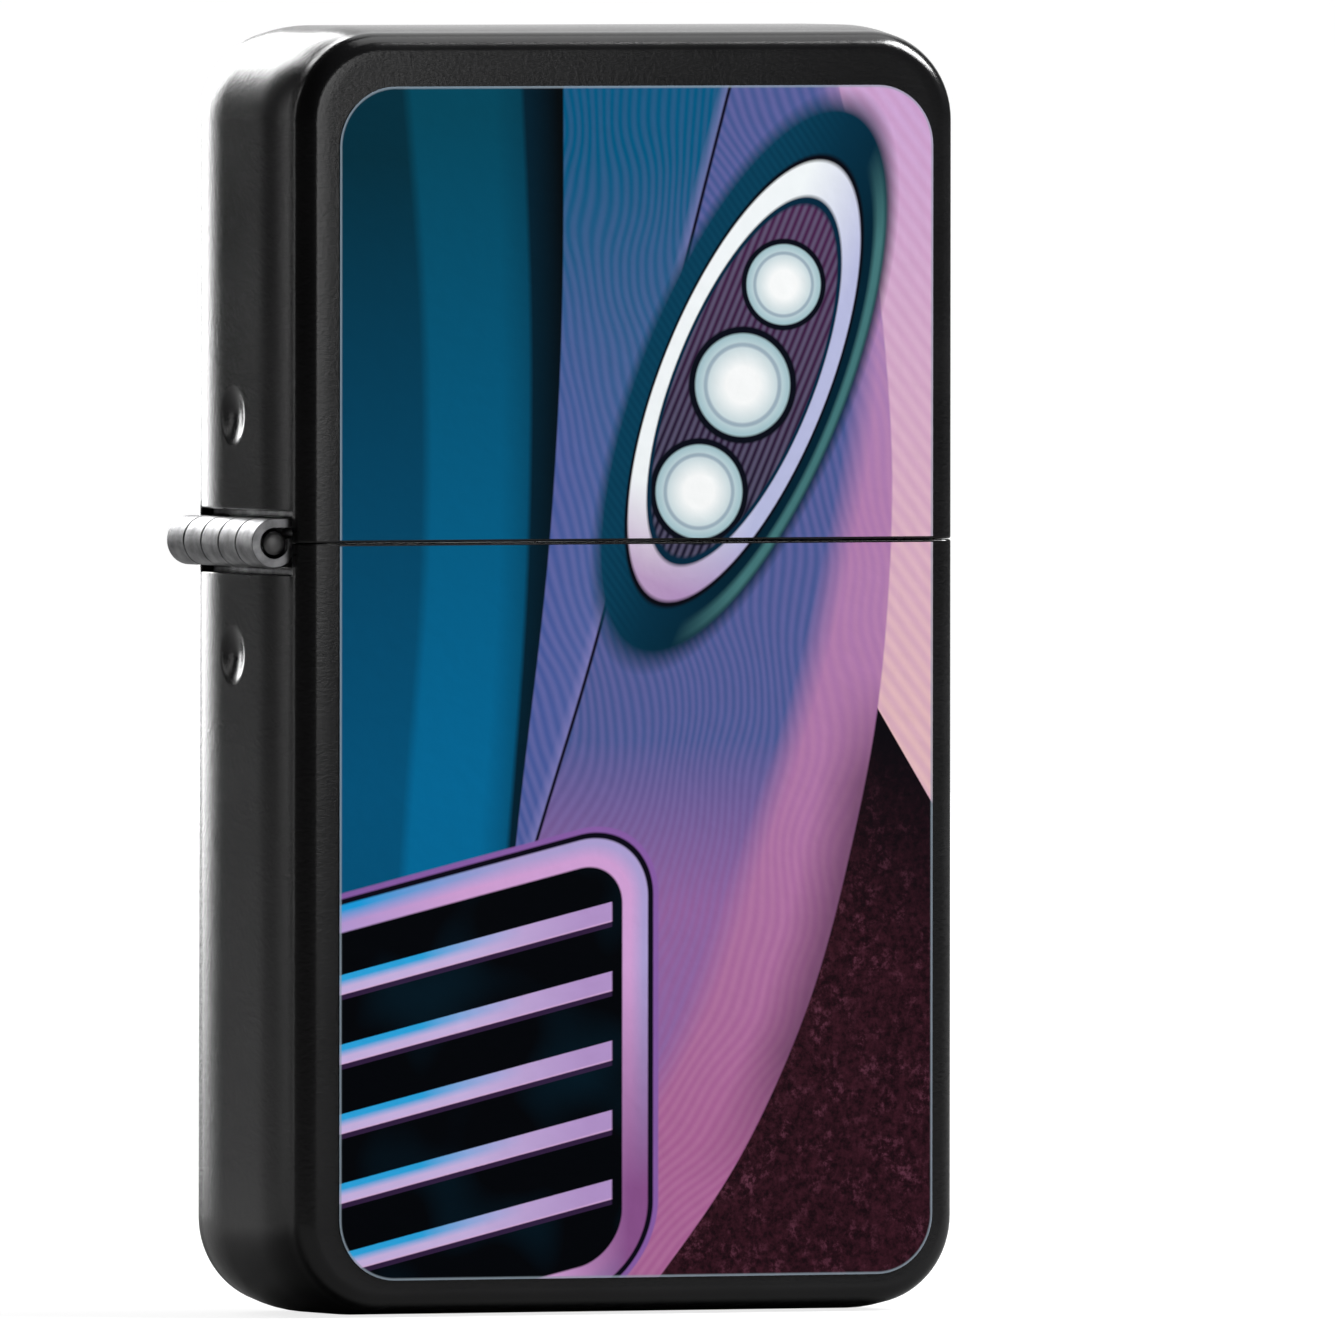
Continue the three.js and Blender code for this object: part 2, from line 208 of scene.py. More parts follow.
class Value:
    """A number inside a finish. Arithmetic on it adds Math nodes to that finish."""

    def __init__(self, finish, socket):
        self.finish = finish
        self.socket = socket

    def math(self, operation, *values, **settings):
        return self.finish.node("Math", {"operation": operation, **settings}, *values)

    def __add__(self, other):
        return self.math("ADD", self, other)

    def __sub__(self, other):
        return self.math("SUBTRACT", self, other)

    def __rsub__(self, other):
        return self.math("SUBTRACT", other, self)

    def __mul__(self, other):
        return self.math("MULTIPLY", self, other)

    def __truediv__(self, other):
        return self.math("DIVIDE", self, other)

    __radd__ = __add__
    __rmul__ = __mul__

    def sin(self):
        return self.math("SINE", self)

    def abs(self):
        return self.math("ABSOLUTE", self)

    def root(self):
        return self.math("SQRT", self)

    def least(self, other):
        return self.math("MINIMUM", self, other)

    def most(self, other):
        return self.math("MAXIMUM", self, other)

    def step(self, soft):
        """0 below zero and 1 above it, with a ramp soft wide."""
        return self.math("MULTIPLY_ADD", self, 1 / soft, 0.5, use_clamp=True)

    def fade(self, start, end):
        """0 at start and 1 at end, held outside them."""
        run = 1 / (end - start)
        return self.math("MULTIPLY_ADD", self, run, -start * run, use_clamp=True)


class Finish:
    """A material with one Principled shader. Its constants are set on the shader itself."""

    def __init__(self, name, **constants):
        self.material = bpy.data.materials.new(name)
        self.material.use_nodes = True
        self.tree = self.material.node_tree
        self.shader = self.tree.nodes["Principled BSDF"]
        for socket, value in constants.items():
            self.shader.inputs[socket.replace("_", " ")].default_value = value

    def put(self, socket, value):
        if isinstance(value, Value):
            self.tree.links.new(value.socket, socket)
        else:
            socket.default_value = value

    def node(self, kind, settings=None, *values, out=0, **named):
        """Adds a node: its settings first, then the values or links of its sockets, in order
        or by name or number (at_3 is the fourth socket)."""
        node = self.tree.nodes.new("ShaderNode" + kind)
        for key, value in (settings or {}).items():
            if key == "points":
                bend = node.mapping.curves[0].points
                for _ in range(len(value) - 2):
                    bend.new(0.5, 0.5)
                for point, place in zip(bend, sorted(value)):
                    point.location = place
                node.mapping.update()
            else:
                setattr(node, key, value)
        for socket, value in zip(node.inputs, values):
            self.put(socket, value)
        for key, value in named.items():
            place = int(key[3:]) if key.startswith("at_") else key.replace("_", " ")
            self.put(node.inputs[place], value)
        return Value(self, node.outputs[out])

    def here(self):
        """Object coordinates in millimetres."""
        place = self.node("TexCoord", out="Object")
        return self.node("VectorMath", {"operation": "SCALE"}, place, Scale=1 / MM)

    def parts(self, vector):
        """A vector's x, y and z."""
        return (self.node("SeparateXYZ", None, vector, out=k) for k in range(3))

    def stretch(self, vector, x, y, z):
        return self.node("VectorMath", {"operation": "MULTIPLY"}, vector, (x, y, z))

    def noise(self, vector, scale, detail=2.0, roughness=0.5, distortion=0.0):
        return self.node(
            "TexNoise", None, Vector=vector, Scale=scale, Detail=detail, Roughness=roughness,
            Distortion=distortion,
        )

    def mix(self, factor, first, second):
        """The first colour where factor is 0, the second where it is 1. A colour is a value,
        or the (red, green, blue) that paint_rgb takes."""
        first, second = (
            paint_rgb(*colour) if isinstance(colour, tuple) else colour
            for colour in (first, second)
        )
        return self.node("Mix", {"data_type": "RGBA"}, factor, at_6=first, at_7=second, out=2)

    def relief(self, height, distance, strength=1.0):
        """Surface relief: height times distance, in millimetres."""
        bump = self.node(
            "Bump", None, Strength=strength, Distance=distance * MM, Height=height,
        )
        self.put(self.shader.inputs["Normal"], bump)

    def set(self, socket, value):
        self.put(self.shader.inputs[socket], value)


def satin_black_paint():
    """Powder paint: near black, with a fine orange-peel relief and a gloss that drifts a
    little from place to place."""
    finish = Finish("satin_black_paint", IOR=1.46)
    here = finish.here()
    peel = finish.noise(here, 4.5, detail=3, roughness=0.6)
    grain = finish.noise(here, 26.0, detail=2)
    cloud = finish.noise(here, 0.16, detail=3)
    finish.set("Base Color", finish.mix(cloud.fade(0.35, 0.65), (13, 13, 14), (19, 19, 20)))
    finish.set("Roughness", 0.13 + 0.06 * cloud + 0.03 * grain)
    finish.relief(0.7 * peel + 0.3 * grain, 0.01)
    return finish.material


def hinge_steel():
    """Thin black plating over rolled steel: grey where the rolls rub, finely drawn round."""
    finish = Finish("hinge_steel", Metallic=0.85)
    here = finish.here()
    drawn = finish.noise(finish.stretch(here, 1.5, 14.0, 1.5), 1.0, detail=4)
    rubbed = finish.noise(here, 1.3, detail=3).fade(0.35, 0.65)
    finish.set("Base Color", finish.mix(rubbed, (112, 112, 114), (158, 158, 160)))
    finish.set("Roughness", 0.26 + 0.2 * drawn)
    finish.relief(drawn, 0.006)
    return finish.material


def dark_steel():
    """Hardened steel with a turned face."""
    finish = Finish("dark_steel", Metallic=1.0)
    here = finish.here()
    marks = finish.noise(finish.stretch(here, 3.0, 12.0, 3.0), 1.0, detail=4)
    finish.set("Base Color", finish.mix(marks, (84, 84, 86), (122, 121, 120)))
    finish.set("Roughness", 0.28 + 0.25 * marks)
    finish.relief(marks, 0.008)
    return finish.material


def brushed_steel():
    """Bright sheet steel, brushed up and down, with faint handling marks."""
    finish = Finish("brushed_steel", Metallic=1.0)
    here = finish.here()
    drawn = finish.noise(finish.stretch(here, 5.0, 5.0, 0.2), 1.0, detail=2)
    marks = finish.noise(here, 0.5, detail=3).fade(0.35, 0.7)
    finish.set("Base Color", finish.mix(drawn, (196, 197, 199), (210, 210, 210)))
    finish.set("Roughness", 0.24 + 0.06 * drawn + 0.05 * marks)
    return finish.material


def turned_brass():
    """Yellow brass with fine turning rings and a little tarnish."""
    finish = Finish("turned_brass", Metallic=1.0)
    here = finish.here()
    rings = finish.noise(finish.stretch(here, 0.4, 0.4, 12.0), 1.0, detail=3)
    tarnish = finish.noise(here, 0.9, detail=3).fade(0.4, 0.75)
    finish.set("Base Color", finish.mix(tarnish, (222, 186, 112), (168, 128, 70)))
    finish.set("Roughness", 0.2 + 0.12 * rings + 0.15 * tarnish)
    finish.relief(rings, 0.006)
    return finish.material


def fibre(name, pale, deep, tangle, relief, sheen):
    """Cotton, braid or felt: tangled fibres, with painted shade that darkens the hollows of their
    relief, random darker patches, and a soft sheen.
    """
    finish = Finish(name, Roughness=0.92, Sheen_Weight=sheen, Sheen_Roughness=0.5)
    here = finish.here()
    strands = finish.noise(here, tangle, detail=5, roughness=0.65, distortion=1.4)
    patches = finish.noise(here, 0.5, detail=2)
    # painted shade: the colour follows the strands that also make the relief, so the low hollows
    # take the deep colour; the patches add random tone
    tone = (0.7 * strands + 0.3 * patches).fade(0.3, 0.65)
    finish.set("Base Color", finish.mix(tone, deep, pale))
    finish.relief(strands, relief)
    return finish.material


def flint_stone():
    """Pressed flint alloy: dark grey, grainy, rubbed brighter in places."""
    finish = Finish("flint_stone", Metallic=0.35)
    here = finish.here()
    grain = finish.noise(here, 7.0, detail=4, roughness=0.7)
    finish.set("Base Color", finish.mix(grain, (70, 68, 64), (126, 123, 118)))
    finish.set("Roughness", 0.5 + 0.25 * grain)
    finish.relief(grain, 0.03)
    return finish.material


PRINT_LOW, PRINT_HIGH = box_mm("body_print")[0] + [0, 0, 0.45], box_mm("lid_print")[1]
PRINT_WIDE = PRINT_HIGH[0] - PRINT_LOW[0]
PRINT_TALL = PRINT_HIGH[2] - PRINT_LOW[2]
PRINT_R = 2.7
PICTURE_TALL = 53.2
SOFT = 0.1


# ---------------------------------------------------------------- the printed picture
#
# A made-up car's front corner seen from above: a dark bonnet on the left, a slanting lamp at the
# upper right, a slatted grille at the lower left and rough ground at the lower right. Lines are
# given as (z, x) places in millimetres from the picture's lower left corner, PICTURE_TALL high.


def line(z, *places):
    """The x of a smooth line through (z, x) places."""
    points = [(high / PICTURE_TALL, out / PRINT_WIDE) for high, out in places]
    return z.finish.node("FloatCurve", {"points": points}, 1.0, z / PICTURE_TALL) * PRINT_WIDE


def ripples(x, z, centre_x, centre_z, flatten, spacing, wobble):
    """Fine rings round a far centre, from 0 to 1, as a screen's pattern leaves in a print."""
    a = x - centre_x
    b = (z - centre_z) * flatten
    reach = (a * a + b * b).root() + wobble
    return (reach * (2 * math.pi / spacing)).sin() * 0.5 + 0.5


def depth_inside(x, z, middle, half, radius):
    """How far (x, z) lies inside a rectangle with rounded corners: below 0 is outside."""
    beyond_x = (x - middle[0]).abs() - (half[0] - radius)
    beyond_z = (z - middle[1]).abs() - (half[1] - radius)
    out_x, out_z = beyond_x.most(0.0), beyond_z.most(0.0)
    outside = (out_x * out_x + out_z * out_z).root() + beyond_x.most(beyond_z).least(0.0)
    return radius - outside


def body_colour(finish, here, x, z):
    """Everything behind the bonnet and the lamp: far wall, ground, wing and bumper."""
    grit = finish.noise(here, 3.2, detail=4, roughness=0.7)
    spots = finish.noise(here, 1.1, detail=2).fade(0.45, 0.75)
    wobble = finish.noise(here, 0.11, detail=1) * 5

    stripes = ((x * 0.8 + z * 0.62) * (2 * math.pi / 0.62)).sin() * 0.5 + 0.5
    wall = finish.mix(z.fade(52, 25), (208, 168, 214), (230, 188, 192))
    wall = finish.mix(stripes * 0.35, wall, (196, 142, 186))
    ground = finish.mix(grit.fade(0.35, 0.75), (26, 11, 17), (66, 29, 41))
    ground = finish.mix(spots * grit.fade(0.5, 0.7), ground, (104, 58, 76))
    ground = finish.mix((z + x * 0.6).fade(30, 40), ground, (12, 9, 15))
    colour = finish.mix((25.5 - (x - 26.0) * 1.6 - z).step(SOFT), wall, ground)

    flank = line(z, (0, 15.5), (9, 21.4), (19, 24.8), (30, 26.6), (42, 26.4), (53.1, 24.2))
    crease = line(z, (0, 8.5), (9, 15.5), (19, 19.8), (30, 23.4), (42, 25.2), (53.1, 23.6))
    rings = ripples(x, z, 4.0, 26.0, 0.72, 0.42, wobble)
    wing = finish.mix(z.fade(24, 16.5), (74, 90, 148), (150, 100, 160))
    wing = finish.mix(rings * 0.25, wing, (140, 124, 188))
    bumper = finish.mix(z.fade(30, 6), (176, 124, 176), (172, 100, 152))
    bumper = finish.mix(z.fade(34, 50), bumper, (166, 134, 188))
    bumper = finish.mix(rings * 0.2, bumper, (206, 150, 182))
    edge = (flank - x).fade(2.4, 0.2) * z.fade(4, 10) * z.fade(27, 22)
    bumper = finish.mix(edge * 0.75, bumper, (96, 62, 90))
    panel = finish.mix((x - crease).fade(-0.5, 0.9), wing, bumper)
    return finish.mix((flank - x).step(SOFT), colour, panel)


def bonnet_colour(finish, here, x, z, colour):
    """The bonnet, its dark hollow, and the strip between the hollow and the lamp."""
    wobble = finish.noise(here, 0.13, detail=1) * 4
    hollow_left = line(z, (0, 6.0), (20, 8.2), (36, 9.2), (53.1, 8.8))
    hollow_right = line(z, (0, 6.2), (20, 8.6), (36, 10.4), (53.1, 10.8))
    strip_right = line(z, (0, 3.0), (20, 9.6), (30, 12.8), (42, 15.8), (53.1, 18.8))
    shade = line(z, (0, 1.6), (20, 3.2), (36, 4.2), (53.1, 3.2))
    strip = finish.mix(z.fade(50, 28), (2, 88, 128), (84, 102, 162))
    strip = finish.mix((x - 10).fade(4, 0) * z.fade(46, 36), strip, (74, 92, 158))
    strip = finish.mix(
        ripples(x, z, 26.0, 50.0, 0.55, 0.45, wobble) * z.fade(60, 30) * 0.3, strip,
        (134, 128, 188),
    )
    strip = finish.mix((strip_right - x).fade(0.5, 0.0) * 0.5, strip, (150, 140, 200))
    colour = finish.mix((strip_right - x + 0.16).step(SOFT), colour, (16, 14, 34))
    colour = finish.mix((strip_right - x).step(SOFT), colour, strip)

    hollow = finish.mix((x - hollow_left).fade(0.0, 1.7), (2, 34, 50), (2, 8, 13))
    colour = finish.mix((hollow_right - x).step(SOFT), colour, hollow)
    bonnet = finish.mix(z.fade(52, 22), (2, 72, 94), (2, 106, 154))
    dark = finish.mix(z.fade(50, 22), (2, 48, 64), (2, 84, 124))
    bonnet = finish.mix((shade - x).step(0.5), bonnet, dark)
    bonnet = finish.mix((hollow_left - x).fade(1.4, 0.0) * 0.45, bonnet, (2, 46, 66))
    return finish.mix((hollow_left - x).step(0.25), colour, bonnet)


LAMP_AT = (19.6, 40.0)
LAMP_TILT = math.radians(66)
LAMP_LONG = 10.6
LAMP_SHORT = 4.0
LENSES = ((-5.4, 2.1), (-0.2, 2.3), (4.7, 1.8))


def lamp_colour(finish, x, z, colour):
    """A plain oval lamp: a dark moat, a pale rim, ribs along its bowl and a row of round
    lenses, each given in LENSES by its place along the lamp and its radius."""
    right, up = x - LAMP_AT[0], z - LAMP_AT[1]
    along = right * math.cos(LAMP_TILT) + up * math.sin(LAMP_TILT)
    across = up * math.cos(LAMP_TILT) - right * math.sin(LAMP_TILT)
    long_part, short_part = along * (1 / LAMP_LONG), across * (1 / LAMP_SHORT)
    oval = (long_part * long_part + short_part * short_part).root()

    moat = finish.mix(across.fade(-3, 3), (1, 34, 50), (5, 59, 85))
    weave = ((x * 1.1 + z * 0.8) * 15).sin() * 0.5 + 0.5
    moat = finish.mix(weave * 0.3 * across.fade(0, 2), moat, (12, 76, 102))
    colour = finish.mix(oval.fade(1.34, 1.22), colour, moat)
    sheen = (oval - 1.17).abs().fade(0.07, 0.02) * across.fade(-1.5, -3.5)
    colour = finish.mix(sheen * 0.5, colour, (96, 160, 160))

    ribs = (across * (2 * math.pi / 0.34)).sin() * 0.5 + 0.5
    bowl = finish.mix(along.fade(-6, 8), (26, 24, 44), (72, 34, 74))
    bowl = finish.mix(ribs * 0.5, bowl, (116, 112, 142))
    for place, radius in LENSES:
        off = along - place
        reach = (off * off + across * across).root() * (1 / radius)
        glass = finish.mix(reach.fade(0.35, 0.95), (253, 255, 255), (168, 198, 206))
        glass = finish.mix((reach - 0.78).abs().fade(0.06, 0.02) * 0.5, glass, (96, 120, 150))
        bowl = finish.mix((1.14 - reach).step(0.05), bowl, (8, 12, 24))
        bowl = finish.mix((1.0 - reach).step(0.05), bowl, glass)
    rim = finish.mix(across.fade(1, -3), (246, 251, 253), (186, 190, 226))
    rim = finish.mix(along.fade(-6, -10) * 0.8, rim, (170, 120, 180))
    bowl = finish.mix((oval - 0.8).step(0.02), bowl, (4, 40, 62))
    bowl = finish.mix((oval - 0.84).step(0.02), bowl, rim)
    colour = finish.mix((1.03 - oval).step(0.02), colour, (6, 8, 18))
    return finish.mix((1.0 - oval).step(0.02), colour, bowl)


GRILLE_AT = (4.6, 6.6)
GRILLE_HALF = (10.6, 10.4)
GRILLE_R = 3.6
GRILLE_RISE = 0.24
SLAT_STEP = 3.1


def grille_colour(finish, here, x, z, colour):
    """A plain rounded opening with a pale frame and straight slats, evenly spaced, that rise
    by GRILLE_RISE to the right."""
    level = z - x * GRILLE_RISE
    inside = depth_inside(x, level, GRILLE_AT, GRILLE_HALF, GRILLE_R)

    colour = finish.mix((inside + 0.25).step(0.1), colour, (140, 96, 170))
    colour = finish.mix(inside.step(0.1), colour, (10, 8, 22))
    outer = finish.mix(x.fade(1, 8.5), (30, 160, 226), (178, 164, 216))
    inner = finish.mix(x.fade(0, 6), (188, 158, 218), (216, 166, 220))
    frame_tone = finish.mix(inside.fade(0.5, 1.1), outer, inner)
    frame_tone = finish.mix(z.fade(14, 4) * x.fade(10, 14), frame_tone, (140, 84, 142))
    colour = finish.mix((inside - 0.26).step(0.1), colour, frame_tone)
    tint = finish.noise(here, 0.18, detail=1).fade(0.5, 0.72)
    dark = finish.mix(tint, (1, 3, 7), (2, 24, 36))
    colour = finish.mix((inside - 1.5).step(0.1), colour, dark)

    turn = level * (2 * math.pi / SLAT_STEP)
    wave = turn.sin()
    part = (turn + math.pi / 2).sin() * -0.6 + 0.5
    tone = finish.mix(x.fade(6, 12), (208, 186, 232), (184, 152, 208))
    tone = finish.mix(part.fade(0.35, 0.75) * x.fade(9.0, 4.0), tone, (46, 168, 228))
    tone = finish.mix(part.fade(0.12, 0.0), tone, (226, 178, 222))
    slat = (wave - 0.62).step(0.08) * (inside - 2.0).step(0.1)
    under = (wave - 0.2).step(0.08) * (inside - 2.0).step(0.1) * part.fade(0.4, 0.3)
    colour = finish.mix(under * 0.7, colour, (60, 38, 76))
    return finish.mix(slat, colour, tone)


def picture_print():
    """The ink film: the picture, a thin pale cut edge round it, and a satin overcoat."""
    finish = Finish("picture_print", Roughness=0.4, IOR=1.45, Specular_IOR_Level=0.03)
    here = finish.here()
    x, _, z = finish.parts(here)
    x = x - PRINT_LOW[0]
    z = (z - PRINT_LOW[2]) * (PICTURE_TALL / PRINT_TALL)
    colour = body_colour(finish, here, x, z)
    colour = bonnet_colour(finish, here, x, z, colour)
    colour = lamp_colour(finish, x, z, colour)
    colour = grille_colour(finish, here, x, z, colour)

    half = (PRINT_WIDE / 2, PICTURE_TALL / 2)
    cut_edge = depth_inside(x, z, half, half, PRINT_R).fade(0.13, 0.06)
    colour = finish.mix(cut_edge * 0.7, colour, (146, 160, 172))
    finish.set("Base Color", colour)
    finish.relief(finish.noise(here, 1.6, detail=2), 0.01)
    return finish.material


# ---------------------------------------------------------------- case


def spread(*stops):
    """Rising values through (value, steps, value, steps, ...) without repeats."""
    runs = [
        np.linspace(stops[k], stops[k + 2], stops[k + 1] + 1) for k in range(0, len(stops) - 2, 2)
    ]
    return np.unique(np.round(np.concatenate(runs), 6))


def shell_points(height, dimple_at):
    """The open half of a rounded case as a grid of (x, rise, y), rise being the distance from
    the seam. One way round the grid follows the front outline: straight side, quarter circle
    of radius CORNER_R, end, quarter circle, straight side. The other way follows the section:
    from the middle of the front face out to the edge, a quarter circle of radius EDGE_R
    measured inwards from the outline, across the side, and back in again. Towards both faces
    the side falls away by CROWN * t^2, t growing from 0 at y = CROWN_FROM to 1 where the edge
    rounding starts. A dimple is a bowl DIMPLE_DEPTH * (1 - r^2)^1.4 deep, r being 1 at its rim."""
    straight = height - CORNER_R
    rises = spread(0, 3, 1.0, 1, CUT_RISE, 6, dimple_at - DIMPLE_PATCH, 34,
                   dimple_at + DIMPLE_PATCH, 10, straight)
    turn = np.linspace(0, math.pi / 2, 19)[1:-1]
    flat = np.linspace(CORNER_R - HALF_W, HALF_W - CORNER_R, 17)
    left = [np.full(rises.size, -HALF_W), rises, np.full(rises.size, -1.0), 0 * rises]
    corner = [-HALF_W + CORNER_R * (1 - np.cos(turn)), straight + CORNER_R * np.sin(turn),
              -np.cos(turn), np.sin(turn)]
    end = [flat, np.full(flat.size, height), 0 * flat, np.ones(flat.size)]
    mirror = [[-part[0][::-1], part[1][::-1], -part[2][::-1], part[3][::-1]]
              for part in (corner, left)]
    x, rise, out_x, out_rise = (
        np.concatenate([part[k] for part in (left, corner, end, *mirror)])[:, None]
        for k in range(4)
    )

    bend = np.linspace(0, math.pi / 2, 11)
    side = spread(-CUT_HALF_Y, 12, DIMPLE_Y - DIMPLE_PATCH, 34, DIMPLE_Y + DIMPLE_PATCH, 8,
                  CUT_HALF_Y)
    reach = np.concatenate([[1, 0.7, 0.4, 0.15, 0.04], 0 * bend, 0 * side[1:-1], 0 * bend,
                            [0.04, 0.15, 0.4, 0.7, 1]])
    arc = CROWN + (EDGE_R - CROWN) * (1 - np.sin(bend))
    fall = np.clip((np.abs(side[1:-1]) - CROWN_FROM) / (CUT_HALF_Y - CROWN_FROM), 0, 1)
    inset = np.concatenate([np.full(5, EDGE_R), arc, CROWN * fall**2, arc[::-1],
                            np.full(5, EDGE_R)])
    y = np.concatenate([np.full(5, -HALF_D), -CUT_HALF_Y - EDGE_R * np.cos(bend), side[1:-1],
                        CUT_HALF_Y + EDGE_R * np.cos(bend[::-1]), np.full(5, HALF_D)])

    ring_x, ring_rise = x - inset * out_x, rise - inset * out_rise
    middle = np.minimum(rise, straight)
    ring_x = ring_x * (1 - reach)
    ring_rise = ring_rise + (middle - ring_rise) * reach
    y = np.broadcast_to(y, ring_x.shape)

    r = np.hypot(y - DIMPLE_Y, ring_rise - dimple_at) / DIMPLE_R
    bowl = np.where(out_x < -0.99, np.clip(1 - r**2, 0, 1) ** 1.4, 0)
    return ring_x + DIMPLE_DEPTH * bowl, ring_rise, y


def case_half(name, node, rim, way, height, dimple_at, finish):
    """One half of the case. way is +1 for the lid and -1 for the body. The cells inside the
    hinge's cut-out are left away, and Solidify gives the sheet its wall."""
    x, rise, y = shell_points(height, dimple_at)
    points = np.stack([x, y, rim + way * rise], axis=-1)
    if way > 0:
        points = points[::-1]
    middle = (points[:-1, :-1] + points[1:, 1:]) / 2
    gap = (np.abs(middle[..., 2] - HINGE[2]) < CUT_REACH) & (middle[..., 0] < -HALF_W + 0.3)
    gap &= np.abs(middle[..., 1]) < CUT_HALF_Y
    body = "lid" if way > 0 else "case"
    part = sheet_part(points, keep=~gap)
    piece = make_piece(name, [part], finish, body, [node], closed=False)
    thicken(piece, SHELL_SHEET)
    soften(piece, 0.09, angle=60)
    return piece


# ---------------------------------------------------------------- hinge

ROLL_R = 0.88
LEAF_THICK = 0.42
LEAF_OFF = 1.38
LEAF_REACH = 7.5
BARREL_HALF = 4.7
KNUCKLES = 5
KNUCKLE_GAP = 0.045
LEAF_BEND = 0.35
ROLL_TURN = 288


def leaf_path():
    """The middle line of a rolled hinge leaf beside the pin, as (out, rise) from the pin: up
    the plate, round a small bend, along the arm, then most of a turn round the pin."""
    plate = np.stack([np.full(8, LEAF_OFF), np.linspace(LEAF_REACH, ROLL_R + LEAF_BEND, 8)], axis=1)
    turn = np.linspace(0, math.pi / 2, 7)[1:]
    bend = np.stack([LEAF_OFF - LEAF_BEND * (1 - np.cos(turn)),
                     ROLL_R + LEAF_BEND * (1 - np.sin(turn))], axis=1)
    arm = np.stack([np.linspace(LEAF_OFF - LEAF_BEND, 0, 5)[1:], np.full(4, ROLL_R)], axis=1)
    roll = np.radians(np.linspace(90, 90 + ROLL_TURN, 40)[1:])
    ring = ROLL_R * np.stack([np.cos(roll), np.sin(roll)], axis=1)
    return np.concatenate([plate, bend, arm, ring]), len(plate) + 2


def hinge_leaf(name, node, way, knuckles, finish):
    """One pressed leaf: a plate with its knuckle tabs rolled round the pin."""
    path, plate_end = leaf_path()
    edges = np.linspace(-BARREL_HALF, BARREL_HALF, KNUCKLES + 1)
    across = np.sort(np.concatenate([edges[:-1] + KNUCKLE_GAP, edges[1:] - KNUCKLE_GAP]))
    rows = np.broadcast_arrays(path[:, :1], across, way * path[:, 1:])
    points = np.stack(rows, axis=-1) + HINGE
    keep = np.zeros((len(path) - 1, across.size - 1), bool)
    keep[:plate_end] = True
    for k in knuckles:
        keep[:, 2 * k] = True
    parts = [sheet_part(points, keep=keep)]
    body = "lid" if way > 0 else "case"
    piece = make_piece(name, parts, finish, body, [node], closed=False)
    thicken(piece, LEAF_THICK, offset=0.0)
    soften(piece, 0.07, angle=50)
    return piece


def hinge_pin(finish):
    """The pin, turned, with a domed and slightly upset head at each end."""
    low, high = box_mm("hinge_pin")
    half = (high[1] - low[1]) / 2
    dome = np.linspace(0, math.pi / 2, 7)
    head = np.stack([0.54 * np.sin(dome), half - 0.14 + 0.14 * np.cos(dome)], axis=1)
    profile = np.concatenate([head, [[0.54, half - 0.3], [0.5, half - 0.36]]])
    profile = np.concatenate([profile, (profile * [1, -1])[::-1]])
    part = turned_part(profile, HINGE, "y", 40)
    return make_piece("hinge_pin_round", [part], finish, "case", ["hinge_pin"])


# ---------------------------------------------------------------- picture film


def film(name, node, body, finish):
    """Half of the printed film: rows of points from its left to its right side, which bend in
    by PRINT_R - sqrt(PRINT_R^2 - h^2) near a rounded corner."""
    low, high = box_mm(node)
    low[2] = max(low[2], PRINT_LOW[2])
    ease = PRINT_R * (1 - np.cos(np.linspace(0, math.pi / 2, 15)))
    if body == "case":
        heights = spread(low[2], 1, low[2], 12, high[2])
        heights = np.unique(np.concatenate([low[2] + ease, heights[heights > low[2] + PRINT_R]]))
    else:
        heights = spread(low[2], 9, high[2])
        heights = np.unique(np.concatenate([heights[heights < high[2] - PRINT_R],
                                            high[2] - ease]))
    below = np.clip(PRINT_LOW[2] + PRINT_R - heights, 0, PRINT_R)
    above = np.clip(heights - PRINT_HIGH[2] + PRINT_R, 0, PRINT_R)
    bend_in = PRINT_R - np.sqrt(PRINT_R**2 - np.maximum(below, above) ** 2)
    part = np.linspace(0, 1, 9)
    left, right = PRINT_LOW[0] + bend_in, PRINT_HIGH[0] - bend_in
    x = left[:, None] * (1 - part) + right[:, None] * part
    points = np.stack(np.broadcast_arrays(x, low[1], heights[:, None]), axis=-1)
    piece = make_piece(name, [sheet_part(points)], finish, body, [node], closed=False)
    piece.data.shade_flat()
    thicken(piece, high[1] - low[1])
    return piece


# ---------------------------------------------------------------- insert: lines and helpers

CHIMNEY_LOW, CHIMNEY_HIGH = box_mm("chimney")
DECK = box_mm("insert_tank")[1][2]
WHEEL_AT = np.array(JOINTS["wheel_spin"]["pos_m"]) / MM
CAM_AT = np.array(JOINTS["cam_pivot"]["pos_m"]) / MM
SHEET = 0.4
CAM_SHEET = 0.42
CHIMNEY_LEFT, CHIMNEY_RIGHT = -7.5, 5.5
CHIMNEY_Y = (CHIMNEY_HIGH[1] - CHIMNEY_LOW[1]) / 2
CHIMNEY_R = 2.0
AIR_HOLES_X = (-4.2, -1.0, 2.2)
AIR_HOLES_Z = (40.2, 43.4, 46.6)
AIR_HOLE_R = 0.95
AIR_CELL = 1.3
WHEEL_GAP_Y = 2.75
WHEEL_GAP_LOW, WHEEL_GAP_HIGH = 37.4, 45.2
RIVET_FOOT = 3.54
RIVET_DOME = 0.28


